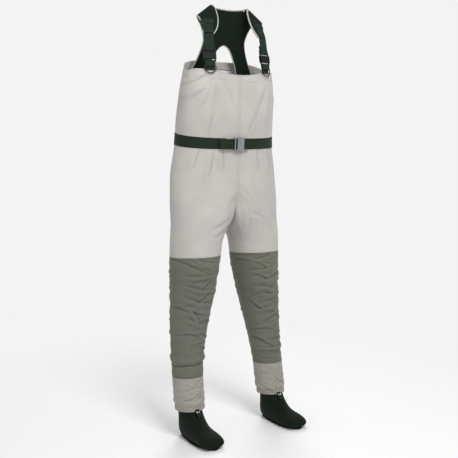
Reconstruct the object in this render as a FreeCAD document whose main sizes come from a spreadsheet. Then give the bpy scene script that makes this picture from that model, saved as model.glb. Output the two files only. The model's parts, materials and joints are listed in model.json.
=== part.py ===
"""Stocking-foot chest waders: cloth shell, neoprene socks, belt, strap buckles and shoulder yoke.

Units are millimetres and degrees. +Z is up, the wearer faces -Y and +X is the wearer's left.
The origin is on the floor under the middle of the waders, which stand as if worn.
"""
import FreeCAD, Part
import math
import os
import re

Vector = FreeCAD.Vector
doc = FreeCAD.newDocument("chest_waders")
sheet = doc.addObject("Spreadsheet::Sheet", "Sheet")
RIGHT = -1
LEFT = 1
SIDES = ((RIGHT, "right"), (LEFT, "left"))
node_objects = []

# ---------------------------------------------------------------- driving dimensions

SIZES = [
    ("cloth", 2.0, "thickness of the shell cloth"),
    ("lining_gap", 0.2, "clearance between the shell and what is sewn inside it"),
    ("facing", 1.5, "thickness of the hem facing"),
    ("facing_depth", 28.0, "depth of the hem facing"),
    ("tape", 1.0, "thickness of the seam tape"),
    ("tape_width", 22.0, "width of the seam tape"),
    ("side_seam", 37.0, "depth position of the side seams"),
    ("rim_height", 1360.0, "height of the rim above the origin"),
    ("rim_slope", 18.0, "tilt of the rim, higher at the back"),
    ("panel_seam", 667.0, "height of the seam above the lower leg panels"),
    ("back_square", 2.2, "squareness of the back of the torso"),
    ("crotch_height", 818.0, "height of the crotch seam"),
    ("crotch_width", 34.0, "half width of the crotch"),
    ("crotch_front", 15.0, "front of the crotch"),
    ("crotch_back", 72.0, "back of the crotch"),
    ("guard", 1.5, "thickness of the gravel guard"),
    ("sleeve", 1.5, "thickness of the inner ankle sleeve"),
    ("elastic", 2.0, "thickness of the hem elastic"),
    ("elastic_depth", 12.0, "depth of the hem elastic"),
    ("neoprene", 4.0, "thickness of the sock"),
    ("sole", 6.0, "thickness of the sock sole"),
    ("foot_x", 184.0, "distance of each foot from the middle"),
    ("webbing", 1.4, "thickness of the webbing"),
    ("webbing_width", 37.0, "width of the webbing"),
    ("reach", 700.0, "size of the cutting blocks"),
    ("belt_gap", 0.4, "clearance of the belt from the shell"),
    ("belt", 1.8, "thickness of the belt"),
    ("belt_depth", 40.0, "width of the belt"),
    ("belt_height", 1088.0, "height of the belt above the origin"),
    ("belt_slope", 11.9, "tilt of the belt, higher at the back"),
    ("belt_buckle_height", 1075.0, "height of the belt buckle"),
    ("loop_width", 28.0, "width of the belt loop"),
    ("loop_margin", 9.0, "height of the belt loop above and below the belt"),
    ("loop_gap", 0.4, "clearance of the belt in its loop"),
    ("belt_end", 6.7, "end of the belt past the middle, at the socket's bar"),
    ("bar_radius", 2.0, "radius of the bars that webbing wraps"),
    ("wrap_radius", 2.3, "inside radius of webbing round a bar"),
    ("buckle_gap", 3.8, "clearance of the belt buckle from the shell"),
    ("buckle_lean", 6.5, "backward lean of the belt buckle, as the front of the waist leans"),
    ("buckle_width", 46.0, "width of a side-release buckle"),
    ("buckle_thick", 11.0, "thickness of a side-release buckle"),
    ("socket_start", 7.0, "start of the socket's shell from its bar"),
    ("socket_mouth", 27.0, "mouth of the socket from its bar"),
    ("pocket_start", 10.0, "floor of the socket's pocket from its bar"),
    ("pocket_width", 40.8, "width of the socket's pocket"),
    ("pocket_thick", 6.4, "thickness of the socket's pocket"),
    ("window_start", 12.5, "start of the side windows from the bar"),
    ("window_end", 21.0, "end of the side windows from the bar"),
    ("rail_inner", 39.6, "distance between the rails that webbing passes"),
    ("collar_start", 27.4, "start of the plug's collar"),
    ("collar_end", 32.0, "end of the plug's collar"),
    ("lock_bar", 39.0, "middle of the plug's lock bar"),
    ("plug_end", 49.0, "end of the plug"),
    ("plug_bar", 4.0, "length and thickness of the plug's end bar"),
    ("tongue_start", 13.6, "tip of the plug's guide tongue"),
    ("tongue_width", 8.0, "width of the plug's guide tongue"),
    ("prong_thick", 5.2, "thickness of the tongue and prongs"),
    ("prong_start", 13.0, "tip of the latch prongs"),
    ("prong_end", 26.8, "root of the latch prongs"),
    ("prong_head", 19.5, "end of the prong heads"),
    ("prong_inner", 11.5, "inner face of the prongs from the middle"),
    ("prong_arm", 4.0, "width of a prong's arm"),
    ("prong_outer", 20.2, "outer face of the prong heads from the middle"),
    ("strap_x", 118.0, "distance of the strap tabs from the middle"),
    ("tab_height", 1330.0, "height from which the strap is measured"),
    ("tab_foot", -4.0, "foot of the strap tab above that height"),
    ("tab_gap", 1.6, "clearance of the strap tab from the shell"),
    ("strap_lean_in", 6.0, "sideways lean of the strap over its rise"),
    ("strap_lean_back", 19.0, "backward lean of the strap over its rise"),
    ("strap_rise", 145.0, "rise over which the strap leans"),
    ("strap_yaw", 13.0, "turn of the strap to follow the chest"),
    ("ring_bar", 18.0, "D-ring bar above that height"),
    ("ring_half_width", 21.0, "half width of the D-ring between wire centres"),
    ("ring_corner", 4.0, "bend radius at the ends of the D-ring's bar"),
    ("ring_side", 5.5, "depth of the D-ring's bow below its bar"),
    ("ring_wire", 1.75, "radius of the D-ring's wire"),
    ("buckle_bar", 35.0, "buckle bar above that height"),
    ("strap_top", 132.5, "top of the strap above that height"),
    ("tail_front", 10.6, "front length of the strap's fold over the lock bar"),
    ("tail_back", 30.0, "back length of the strap's fold behind the lock bar"),
    ("belt_tail_front", 70.0, "front length of the belt's free end"),
    ("belt_tail_back", 22.0, "back length of the belt's fold"),
    ("belt_fold", 16.0, "length of the belt's fold at the socket"),
    ("yoke", 7.0, "thickness of the padded yoke"),
    ("binding", 3.0, "width of the yoke's edge binding"),
    ("binding_thick", 8.0, "thickness of the yoke's edge binding"),
    ("neck_x", 69.0, "distance of the neck corners from the middle"),
    ("neck_height", 1559.0, "height of the neck corners"),
    ("neck_dip", 1557.0, "height of the yoke's neck edge at the middle"),
    ("shoulder_x", 131.0, "distance of the shoulder corners from the middle"),
    ("shoulder_height", 1514.0, "height of the shoulder corners"),
    ("crest_front", -38.0, "front of the yoke's crest"),
    ("plate_foot_height", 1342.0, "height of the yoke's sewn feet"),
    ("plate_foot_inner", 66.0, "inner edge of the yoke's feet"),
    ("plate_foot_outer", 134.0, "outer edge of the yoke's feet"),
    ("plate_waist", 88.0, "half width of the yoke at its narrowest"),
    ("plate_waist_height", 1455.0, "height of the yoke's narrowest part"),
    ("arch_height", 1443.0, "height of the arch between the yoke's feet"),
    ("arch_bend", 24.0, "half width of the arch's rounded top"),
    ("arch_bend_drop", 12.0, "height of the arch's rounded top"),
    ("plate_depth", 44.0, "depth of the yoke's middle at its feet"),
    ("plate_lean", 13.0, "forward lean of the yoke"),
    ("wing_bulge", 38.0, "bulge of the wing's inner edge from the strap's middle"),
    ("wing_bulge_rise", 45.0, "rise of the wing's bulge"),
    ("wing_webbing_rise", 46.0, "height of the webbing sewn on the wing"),
    ("wing_rise", 1.5, "gap between the strap's top and the wing"),
    ("wing_margin", 1.0, "width of the wing's foot past the webbing on each side"),
    ("wing_drop", 1.6, "gap between the wing and the crest"),
    ("pad_gap", 0.1, "clearance of the crest from the plate and of webbing from the wing"),
    ("hook_tab_width", 16.0, "width of the lace hook's tab"),
    ("hook_tab_length", 25.0, "length of the lace hook's tab"),
    ("hook_tab_height", 109.0, "height of the top of the lace hook's tab"),
    ("hook_tab_depth", -26.6, "depth of the top of the lace hook's tab"),
    ("hook_tab_slant", 46.0, "forward slant of the lace hook's tab"),
    ("rivet_radius", 1.9, "radius of the lace hook's rivets"),
    ("rivet_spacing", 8.0, "distance between the lace hook's rivets"),
    ("rivet_head", 1.2, "height of the lace hook's rivets"),
    ("rivet_drop", 6.0, "distance of the rivets below the tab's top"),
    ("hook_wire", 1.0, "radius of the lace hook's wire"),
    ("hook_start", 9.0, "distance of the hook's shank below the tab's top"),
    ("hook_turn", 20.0, "distance of the hook's bend below the tab's top"),
    ("hook_bend", 3.0, "radius of the hook's bend"),
    ("hook_gap", 0.1, "clearance between the tab and its metal"),
]

# height, half width, front, side seam and back of the torso, and the squareness of its front
TORSO = {
    "hem": (1420.0, 166.0, -85.0, -5.0, 58.0, 3.0),
    "chest": (1280.0, 191.0, -83.0, 9.0, 93.0, 2.8),
    "ribs": (1170.0, 198.0, -75.0, 29.0, 121.0, 2.6),
    "waist": (1080.0, 200.0, -62.0, 39.0, 135.0, 2.4),
    "hip": (970.0, 221.0, -54.0, 47.0, 136.0, 2.2),
    "fork": (870.0, 225.0, -60.0, 45.0, 137.0, 2.2),
}

# height, distance from the middle, depth and radius of a leg
LEG = {
    "seat": (910.0, 116.0, 43.0, 84.0),
    "groin": (845.0, 117.0, 42.0, 101.0),
    "thigh": (730.0, 126.0, 45.0, 98.0),
    "over_knee": (630.0, 134.0, 51.0, 94.0),
    "knee": (530.0, 145.0, 54.0, 84.0),
    "calf": (410.0, 163.0, 56.0, 71.0),
    "shin": (310.0, 175.0, 52.0, 61.0),
    "cuff": (227.0, 181.0, 44.0, 57.0),
}
GUARD = {
    "cuff": LEG["cuff"],
    "guard_middle": (170.0, 182.0, 38.0, 57.5),
    "guard_hem": (107.0, 183.0, 29.0, 53.5),
}
SLEEVE = {
    "sleeve_top": (227.0, 181.0, 44.0, 55.4),
    "sleeve_foot": (175.0, 184.0, 35.0, 46.0),
}

# height, depth, half width and half length of a sock
SOCK = {
    "sock_top": (175.0, 35.0, 45.8, 46.0),
    "sock_ankle": (106.0, 27.0, 42.0, 44.0),
    "sock_instep": (70.0, 12.5, 42.0, 64.0),
    "sock_vamp": (46.0, -13.5, 45.0, 98.5),
    "sock_ball": (26.0, -30.0, 47.0, 118.0),
    "sock_sole": (6.0, -34.0, 46.0, 120.0),
}


def fill_sheet():
    """Put every driving dimension in the sheet under its alias."""
    rows = list(SIZES)
    for name, (height, half, front, side, back, square) in TORSO.items():
        rows.append((name + "_height", height, "height of the torso's " + name))
        rows.append((name + "_half", half, "half width of the torso's " + name))
        rows.append((name + "_front", front, "front of the torso's " + name))
        rows.append((name + "_side", side, "widest depth of the torso's " + name))
        rows.append((name + "_back", back, "back of the torso's " + name))
        rows.append((name + "_square", square, "squareness of the front of the torso's " + name))
    for name, (height, offset, depth, radius) in {**LEG, **GUARD, **SLEEVE}.items():
        rows.append((name + "_height", height, "height of the leg's " + name))
        rows.append((name + "_offset", offset, "distance of the leg's " + name + " from the middle"))
        rows.append((name + "_depth", depth, "depth of the leg's " + name))
        rows.append((name + "_radius", radius, "radius of the leg's " + name))
    for name, (height, depth, half_width, half_length) in SOCK.items():
        rows.append((name + "_height", height, "height of the " + name))
        rows.append((name + "_depth", depth, "depth of the " + name))
        rows.append((name + "_across", half_width, "half width of the " + name))
        rows.append((name + "_along", half_length, "half length of the " + name))
    for row, (alias, size, note) in enumerate(rows, start=1):
        sheet.set(f"A{row}", note)
        sheet.set(f"B{row}", str(size))
        sheet.setAlias(f"B{row}", alias)
    doc.recompute()


def cell(alias):
    """The sheet's value of one driving dimension."""
    return float(sheet.get(alias))


def bound(text):
    """An expression in which every alias reads the sheet."""
    return re.sub(r"[a-z][a-z_]*", lambda word: "Sheet." + word.group(), text)


# ---------------------------------------------------------------- small building helpers

def block(name, low, high):
    """A box whose two corners are expressions on the sheet."""
    made = doc.addObject("Part::Box", name)
    for size, axis, start, end in zip(("Length", "Width", "Height"), "xyz", low, high):
        made.setExpression(size, bound(f"( {end} ) - ( {start} )"))
        made.setExpression("Placement.Base." + axis, bound(start))
    return made


def rod(name, radius, length, start, rotation):
    """A cylinder that starts at a point given by expressions."""
    made = doc.addObject("Part::Cylinder", name)
    made.setExpression("Radius", bound(radius))
    made.setExpression("Height", bound(length))
    made.Placement.Rotation = rotation
    for axis, text in zip("xyz", start):
        made.setExpression("Placement.Base." + axis, bound(text))
    return made


def cut(name, base, tool):
    """Base without tool."""
    made = doc.addObject("Part::Cut", name)
    made.Base = base
    made.Tool = tool
    return made


def common(name, base, tool):
    """What base and tool share."""
    made = doc.addObject("Part::Common", name)
    made.Base = base
    made.Tool = tool
    return made


def fuse(name, shapes):
    """All the shapes joined in one."""
    made = doc.addObject("Part::MultiFuse", name)
    made.Shapes = shapes
    return made


def loft(name, sections, ruled=False):
    """A solid through closed sections."""
    made = doc.addObject("Part::Loft", name)
    made.Sections = sections
    made.Solid = True
    made.Ruled = ruled
    return made


def solid_feature(name, shape):
    """A document object for a shape made from the sheet's values."""
    made = doc.addObject("Part::Feature", name)
    made.Shape = shape
    return made


def node(made, label, placement=None):
    """Name a finished sub-part and put it in its place."""
    made.Label = label
    if placement is not None:
        made.Placement = placement
    node_objects.append(made)
    return made


def tilted_half_space(name, height, slope, lift=0.0, depth=None):
    """A big slab whose lower face passes over the origin at a height and rises to the back."""
    made = doc.addObject("Part::Box", name)
    made.setExpression("Length", "Sheet.reach")
    made.setExpression("Width", "2 * Sheet.reach")
    made.setExpression("Height", depth or "Sheet.reach")
    angle = math.radians(cell(slope))
    half = cell("reach")
    turn = FreeCAD.Rotation(Vector(1, 0, 0), cell(slope))
    corner = Vector(-half / 2, -half * math.cos(angle), cell(height) - half * math.sin(angle))
    made.Placement = FreeCAD.Placement(corner + turn.multVec(Vector(0, 0, lift)), turn)
    return made


# ---------------------------------------------------------------- sections

OVAL_POINTS = 28


def oval(name, half, front, side, back, square, height):
    """A flattened closed curve, squarer at the front than at the back."""
    points = []
    for step in range(OVAL_POINTS):
        angle = 2 * math.pi * step / OVAL_POINTS
        across, along = math.cos(angle), math.sin(angle)
        reach = side - front if along < 0 else back - side
        power = square if along < 0 else cell("back_square")
        radius = (abs(across / half) ** power + abs(along / reach) ** power) ** (-1 / power)
        points.append(Vector(radius * across, side + radius * along, height))
    curve = Part.BSplineCurve()
    curve.interpolate(Points=points, PeriodicFlag=True)
    return solid_feature(name, Part.Wire([curve.toShape()]))


def torso_section(station, outset):
    """One torso section, moved outwards by outset."""
    return oval(
        f"{station}_section",
        cell(station + "_half") + outset,
        cell(station + "_front") - outset,
        cell(station + "_side"),
        cell(station + "_back") + outset,
        cell(station + "_square"),
        cell(station + "_height"),
    )


def torso(name, outset):
    """The torso's solid, moved outwards by outset."""
    return loft(name, [torso_section(station, outset) for station in TORSO])


def saddle(name, outset):
    """The piece from the fork down to the crotch between the legs."""
    crotch = oval(
        name + "_crotch",
        cell("crotch_width") + outset,
        cell("crotch_front") - outset,
        (cell("crotch_front") + cell("crotch_back")) / 2,
        cell("crotch_back") + outset,
        cell("fork_square"),
        cell("crotch_height") - outset,
    )
    return loft(name, [torso_section("fork", outset), crotch], ruled=True)


def leg_loft(name, stations, side, inset):
    """A leg's round solid through its stations, made smaller by the sheet's cell named inset."""
    rings = []
    for station in stations:
        ring = doc.addObject("Part::Circle", f"{name}_{station}")
        less = f" - {inset}" if inset else ""
        ring.setExpression("Radius", bound(f"{station}_radius{less}"))
        ring.setExpression("Placement.Base.x", bound(f"{side} * {station}_offset"))
        ring.setExpression("Placement.Base.y", bound(f"{station}_depth"))
        ring.setExpression("Placement.Base.z", bound(f"{station}_height"))
        rings.append(ring)
    return loft(name, rings)


def sock_ring(name, station, side, less, height):
    """One level oval of a sock, longer than it is wide."""
    ring = doc.addObject("Part::Ellipse", name)
    ring.setExpression("MajorRadius", bound(f"{station}_along{less}"))
    ring.setExpression("MinorRadius", bound(f"{station}_across{less}"))
    ring.Placement.Rotation = FreeCAD.Rotation(Vector(0, 0, 1), 90)
    ring.setExpression("Placement.Base.x", bound(f"{side} * foot_x"))
    ring.setExpression("Placement.Base.y", bound(f"{station}_depth"))
    ring.setExpression("Placement.Base.z", bound(height))
    return ring


# ---------------------------------------------------------------- the cloth shell

def shell_panels():
    """Four panels from the rim to the knee, and a lower leg panel for each leg."""
    solids = {}
    for layer, outset, inset in (("outer", 0.0, ""), ("inner", -cell("cloth"), "cloth")):
        legs = [leg_loft(f"{word}_leg_{layer}", LEG, side, inset) for side, word in SIDES]
        pieces = [torso("torso_" + layer, outset), saddle("saddle_" + layer, outset)]
        solids[layer] = fuse("shell_" + layer, pieces + legs)
    walls = cut("shell_walls", solids["outer"], solids["inner"])
    above_rim = tilted_half_space("above_rim", "rim_height", "rim_slope")
    shell = cut("shell", walls, above_rim)
    across = {"right": ("-reach", "0 * reach"), "left": ("0 * reach", "reach")}
    along = {"front": ("-reach", "side_seam"), "back": ("side_seam", "reach")}
    for word, (x_low, x_high) in across.items():
        for face, (y_low, y_high) in along.items():
            low = (x_low, y_low, "panel_seam")
            high = (x_high, y_high, "panel_seam + 2 * reach")
            room = block(f"{word}_{face}_room", low, high)
            node(common(f"{word}_{face}_cloth", shell, room), f"{word}_{face}_panel")
        low = (x_low, "-reach", "0 * reach")
        high = (x_high, "reach", "panel_seam")
        room = block(f"{word}_lower_room", low, high)
        node(common(f"{word}_lower_cloth", shell, room), f"{word}_lower_leg_panel")


def linings():
    """The hem facings and the seam tapes, sewn inside the torso."""
    outer_face = -cell("cloth") - cell("lining_gap")
    outside = torso("lining_outside", outer_face)
    facing_inside = torso("facing_inside", outer_face - cell("facing"))
    tape_inside = torso("tape_inside", outer_face - cell("tape"))
    rim = ("rim_height", "rim_slope")
    band = tilted_half_space("facing_band", *rim, -cell("facing_depth"), "Sheet.facing_depth")
    facing = common("facing_ring", cut("facing_wall", outside, facing_inside), band)
    front_room = block("front_room", ("-reach", "-reach", "0 * reach"), ("reach", "side_seam", "3 * reach"))
    back_room = block("back_room", ("-reach", "side_seam", "0 * reach"), ("reach", "reach", "3 * reach"))
    node(common("front_facing_cloth", facing, front_room), "front_hem_facing")
    node(common("back_facing_cloth", facing, back_room), "back_hem_facing")
    under_facing = tilted_half_space("under_facing", *rim, -cell("facing_depth") - cell("lining_gap"))
    tape = cut("tape_ring", cut("tape_wall", outside, tape_inside), under_facing)
    rooms = (("front", "-reach", "side_seam"), ("back", "side_seam", "reach"))
    for face, y_low, y_high in rooms:
        low = ("-tape_width / 2", y_low, "fork_height + cloth")
        high = ("tape_width / 2", y_high, "3 * reach")
        strip = block(f"{face}_tape_room", low, high)
        node(common(f"{face}_tape_strip", tape, strip), f"{face}_seam_tape")


def ankles(side, word):
    """The gravel guard, its elastic, the sleeve under it, the sock and the sock's sole."""
    guard_outer = leg_loft(word + "_guard_outer", GUARD, side, "")
    guard_inner = leg_loft(word + "_guard_inner", GUARD, side, "guard")
    node(cut(word + "_guard", guard_outer, guard_inner), f"{word}_gravel_guard")

    level = FreeCAD.Rotation()
    centre = (f"{side} * guard_hem_offset", "guard_hem_depth + 0.5", "guard_hem_height + 1")
    outside = "guard_hem_radius - guard - 0.6"
    band = rod(word + "_elastic_outer", outside, "elastic_depth", centre, level)
    hole = rod(word + "_elastic_inner", outside + " - elastic", "elastic_depth", centre, level)
    node(cut(word + "_elastic", band, hole), f"{word}_hem_elastic")

    sleeve_outer = leg_loft(word + "_sleeve_outer", SLEEVE, side, "")
    sleeve_inner = leg_loft(word + "_sleeve_inner", SLEEVE, side, "sleeve")
    node(cut(word + "_sleeve", sleeve_outer, sleeve_inner), f"{word}_ankle_sleeve")

    outer = [sock_ring(f"{word}_{name}_outer", name, side, "", name + "_height") for name in SOCK]
    heights = {name: name + "_height" for name in SOCK}
    heights["sock_sole"] = "sock_sole_height + neoprene"
    inner = [
        sock_ring(f"{word}_{name}_inner", name, side, " - neoprene", heights[name]) for name in SOCK
    ]
    sock = cut(word + "_sock", loft(word + "_sock_outer", outer), loft(word + "_sock_hollow", inner))
    node(sock, f"{word}_sock")
    under = sock_ring(word + "_sole_under", "sock_sole", side, "", "0 * sole")
    over = sock_ring(word + "_sole_over", "sock_sole", side, "", "sole")
    node(loft(word + "_sole_slab", [under, over], ruled=True), f"{word}_sock_sole")


def lace_hook(side, word):
    """The tab at the front of a gravel guard, with the riveted hook that grips a boot lace."""
    slant = FreeCAD.Rotation(Vector(1, 0, 0), -cell("hook_tab_slant"))
    top = Vector(side * cell("guard_hem_offset"), cell("hook_tab_depth"), cell("hook_tab_height"))
    place = FreeCAD.Placement(top, slant)
    half = cell("hook_tab_width") / 2
    low = Vector(-half, -cell("webbing"), -cell("hook_tab_length"))
    tab = slab(word + "_hook_tab", low, Vector(half, 0, 0))
    node(tab, f"{word}_lace_hook_tab", place)

    gap = cell("hook_gap")
    front = -cell("webbing") - gap
    spacing = cell("rivet_spacing") / 2
    radius, head, drop = cell("rivet_radius"), cell("rivet_head"), cell("rivet_drop")
    rivets = [
        Part.makeCylinder(radius, head, Vector(offset, front, -drop), Vector(0, -1, 0))
        for offset in (-spacing, spacing)
    ]
    wire = cell("hook_wire")
    back = gap + wire
    bend, turn_height = cell("hook_bend"), -cell("hook_turn")
    start = Vector(0, back, -cell("hook_start"))
    turn = Vector(0, back, turn_height)
    under = Vector(0, back + bend, turn_height - bend)
    rise = Vector(0, back + 2 * bend, turn_height)
    path = Part.Wire([Part.LineSegment(start, turn).toShape(), Part.Arc(turn, under, rise).toShape()])
    section = Part.Wire([Part.Circle(start, Vector(0, 0, 1), wire).toShape()])
    hook = path.makePipeShell([section], True, False)
    group = solid_feature(word + "_hook", Part.makeCompound(rivets + [hook]))
    node(group, f"{word}_lace_hook", place)


# ---------------------------------------------------------------- webbing folds and buckles

def fold_profile(name, half_width, low, high_front, high_back):
    """Webbing folded under a bar: two layers that rise from it, front and back."""
    inner, outer = cell("wrap_radius"), cell("wrap_radius") + cell("webbing")
    bend = low
    outer_low, inner_low = Vector(0, 0, bend - outer), Vector(0, 0, bend - inner)
    corners = [
        Part.LineSegment(Vector(0, -outer, high_front), Vector(0, -outer, bend)),
        Part.Arc(Vector(0, -outer, bend), outer_low, Vector(0, outer, bend)),
        Part.LineSegment(Vector(0, outer, bend), Vector(0, outer, high_back)),
        Part.LineSegment(Vector(0, outer, high_back), Vector(0, inner, high_back)),
        Part.LineSegment(Vector(0, inner, high_back), Vector(0, inner, bend)),
        Part.Arc(Vector(0, inner, bend), inner_low, Vector(0, -inner, bend)),
        Part.LineSegment(Vector(0, -inner, bend), Vector(0, -inner, high_front)),
        Part.LineSegment(Vector(0, -inner, high_front), Vector(0, -outer, high_front)),
    ]
    face = Part.Face(Part.Wire([edge.toShape() for edge in corners]))
    face.translate(Vector(-half_width, 0, 0))
    return solid_feature(name, face.extrude(Vector(2 * half_width, 0, 0)))


def slab(name, low, high):
    """A plain block between two corners, for the closed loops of webbing."""
    size = high - low
    return solid_feature(name, Part.makeBox(size.x, size.y, size.z, low))


def closed_loop(name, half_width, low, high):
    """A flat loop of webbing round two bars, one above the other."""
    inner, outer = cell("wrap_radius"), cell("wrap_radius") + cell("webbing")
    shapes = []
    for radius in (outer, inner):
        left, right = Vector(0, -radius, low), Vector(0, radius, low)
        top_left, top_right = Vector(0, -radius, high), Vector(0, radius, high)
        edges = [
            Part.Arc(left, Vector(0, 0, low - radius), right),
            Part.LineSegment(right, top_right),
            Part.Arc(top_right, Vector(0, 0, high + radius), top_left),
            Part.LineSegment(top_left, left),
        ]
        face = Part.Face(Part.Wire([edge.toShape() for edge in edges]))
        face.translate(Vector(-half_width, 0, 0))
        shapes.append(face.extrude(Vector(2 * half_width, 0, 0)))
    return solid_feature(name, shapes[0].cut(shapes[1]))


def socket(prefix, place):
    """The buckle's socket: a bar, a slot and a flat shell with side windows."""
    half, deep = "buckle_width / 2", "buckle_thick / 2"
    sideways = FreeCAD.Rotation(Vector(0, 1, 0), 90)
    bar_start = (f"-{half}", "0 * reach", "0 * reach")
    bar = rod(prefix + "_socket_bar", "bar_radius", "buckle_width", bar_start, sideways)
    rails = []
    for name, x_low, x_high in (("a", f"-{half}", "-rail_inner / 2"), ("b", "rail_inner / 2", half)):
        low = (x_low, "-bar_radius", "0 * reach")
        high = (x_high, "bar_radius", "socket_start + 1")
        rails.append(block(f"{prefix}_socket_rail_{name}", low, high))
    low, high = (f"-{half}", f"-{deep}", "socket_start"), (half, deep, "socket_mouth")
    body = block(prefix + "_socket_body", low, high)
    low = ("-pocket_width / 2", "-pocket_thick / 2", "pocket_start")
    high = ("pocket_width / 2", "pocket_thick / 2", "socket_mouth + 1")
    pocket = block(prefix + "_socket_pocket", low, high)
    low = ("-buckle_width", "-pocket_thick / 2", "window_start")
    high = ("buckle_width", "pocket_thick / 2", "window_end")
    windows = block(prefix + "_socket_windows", low, high)
    hollow = fuse(prefix + "_socket_hollow", [pocket, windows])
    shell = cut(prefix + "_socket_shell", body, hollow)
    whole = fuse(prefix + "_socket_whole", [bar, shell] + rails)
    return node(whole, f"{prefix}_buckle_socket", place)


def plug(prefix, place):
    """The buckle's plug: a guide tongue, a collar, two rails, a lock bar and an end bar."""
    half, deep = "buckle_width / 2", "buckle_thick / 2"
    low = ("-tongue_width / 2", "-prong_thick / 2", "tongue_start")
    high = ("tongue_width / 2", "prong_thick / 2", "collar_start + 1")
    pieces = [block(prefix + "_tongue", low, high)]
    low, high = (f"-{half}", f"-{deep}", "collar_start"), (half, deep, "collar_end")
    pieces.append(block(prefix + "_collar", low, high))
    for name, x_low, x_high in (("a", f"-{half}", "-rail_inner / 2"), ("b", "rail_inner / 2", half)):
        low = (x_low, "-plug_bar / 2", "collar_end - 1")
        high = (x_high, "plug_bar / 2", "plug_end")
        pieces.append(block(f"{prefix}_plug_rail_{name}", low, high))
    sideways = FreeCAD.Rotation(Vector(0, 1, 0), 90)
    bar_start = (f"-{half}", "0 * reach", "lock_bar")
    pieces.append(rod(prefix + "_lock_bar", "bar_radius", "buckle_width", bar_start, sideways))
    low = (f"-{half}", "-plug_bar / 2", "plug_end - plug_bar")
    high = (half, "plug_bar / 2", "plug_end")
    pieces.append(block(prefix + "_end_bar", low, high))
    return node(fuse(prefix + "_plug_whole", pieces), f"{prefix}_buckle_plug", place)


def prongs(prefix, place):
    """The two latch prongs, each squeezed by its own finger and rounded where it bends."""
    upright = FreeCAD.Rotation(Vector(1, 0, 0), -90)
    for name, sign in (("outer", 1), ("inner", -1)):
        spans = (
            ("arm", "prong_inner", "prong_inner + prong_arm", "prong_end - prong_arm / 2"),
            ("head", "prong_inner", "prong_outer", "prong_head"),
        )
        middle = f"{sign} * ( prong_inner + prong_arm / 2 )"
        start = (middle, "-prong_thick / 2", "prong_end - prong_arm / 2")
        pieces = [rod(f"{prefix}_{name}_prong_root", "prong_arm / 2", "prong_thick", start, upright)]
        for part, near, far, end in spans:
            x_low, x_high = (near, far) if sign > 0 else (f"-1 * ( {far} )", f"-1 * ( {near} )")
            low = (x_low, "-prong_thick / 2", "prong_start")
            high = (x_high, "prong_thick / 2", end)
            pieces.append(block(f"{prefix}_{name}_prong_{part}", low, high))
        whole = fuse(f"{prefix}_{name}_prong", pieces)
        node(whole, f"{prefix}_buckle_prong_{name}", place)


# ---------------------------------------------------------------- the belt

def front_surface(shape, x, height):
    """Depth of the front of a shape at a given place."""
    ray = Part.makeLine(Vector(x, -cell("reach"), height), Vector(x, cell("side_seam"), height))
    return shape.common(ray).BoundBox.YMin


def belt(garment):
    """The waist belt, its buckle at the front and its loop at the back."""
    inside = cell("belt_gap")
    outside = inside + cell("belt")
    inner = torso("belt_inside", inside)
    outer = torso("belt_outside", outside)
    half_depth = -cell("belt_depth") / 2
    slab_room = tilted_half_space("belt_slab", "belt_height", "belt_slope", half_depth, "Sheet.belt_depth")
    ring = common("belt_ring", cut("belt_wall", outer, inner), slab_room)
    low = ("-plug_end - 1", "-reach", "0 * reach")
    high = ("belt_end", "0 * reach", "3 * reach")
    node(cut("belt_band", ring, block("belt_opening", low, high)), "belt_strap")

    gap = cell("loop_gap")
    loop_inner = torso("loop_inside", outside + gap)
    loop_outer = torso("loop_outside", outside + gap + cell("webbing"))
    margin = cell("loop_margin")
    tall = f"Sheet.belt_depth + {2 * margin}"
    tall_slab = tilted_half_space("loop_slab", "belt_height", "belt_slope", half_depth - margin, tall)
    thick = common("loop_thick", cut("loop_wall", loop_outer, inner), tall_slab)
    clear = f"Sheet.belt_depth + {2 * gap}"
    passage_room = tilted_half_space("loop_passage_room", "belt_height", "belt_slope", half_depth - gap, clear)
    passage = common("loop_passage", loop_inner, passage_room)
    low = ("-loop_width / 2", "side_seam", "0 * reach")
    high = ("loop_width / 2", "reach", "3 * reach")
    arch = common("loop_arch", thick, block("loop_room", low, high))
    node(cut("loop_band", arch, passage), "belt_loop")

    height = cell("belt_buckle_height")
    half_buckle = cell("buckle_thick") / 2 + cell("buckle_gap")
    angle = math.radians(cell("buckle_lean"))
    width_axis = Vector(0, -math.sin(angle), math.cos(angle))
    release_axis = Vector(-1, 0, 0)
    inward_axis = release_axis.cross(width_axis)
    point = Vector(0, front_surface(garment.Shape, 0, height), height) - inward_axis * half_buckle
    middle = cell("plug_end") / 2
    origin = point - release_axis * middle
    turn = FreeCAD.Rotation(width_axis, inward_axis, release_axis, "ZXY")
    place = FreeCAD.Placement(origin, turn)
    socket("belt", place)
    plug("belt", place)
    prongs("belt", place)
    half = cell("webbing_width") / 2
    turned = FreeCAD.Placement(Vector(), FreeCAD.Rotation(Vector(1, 0, 0), 180))
    fold = fold_profile("belt_fold_web", half, 0, cell("belt_fold"), cell("belt_fold"))
    node(fold, "belt_end_fold", place.multiply(turned))
    bar = cell("lock_bar")
    ends = (bar + cell("belt_tail_front"), bar + cell("belt_tail_back"))
    node(fold_profile("belt_tail_web", half, bar, *ends), "belt_tail", place)
    return place


# ---------------------------------------------------------------- straps and yoke

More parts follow.
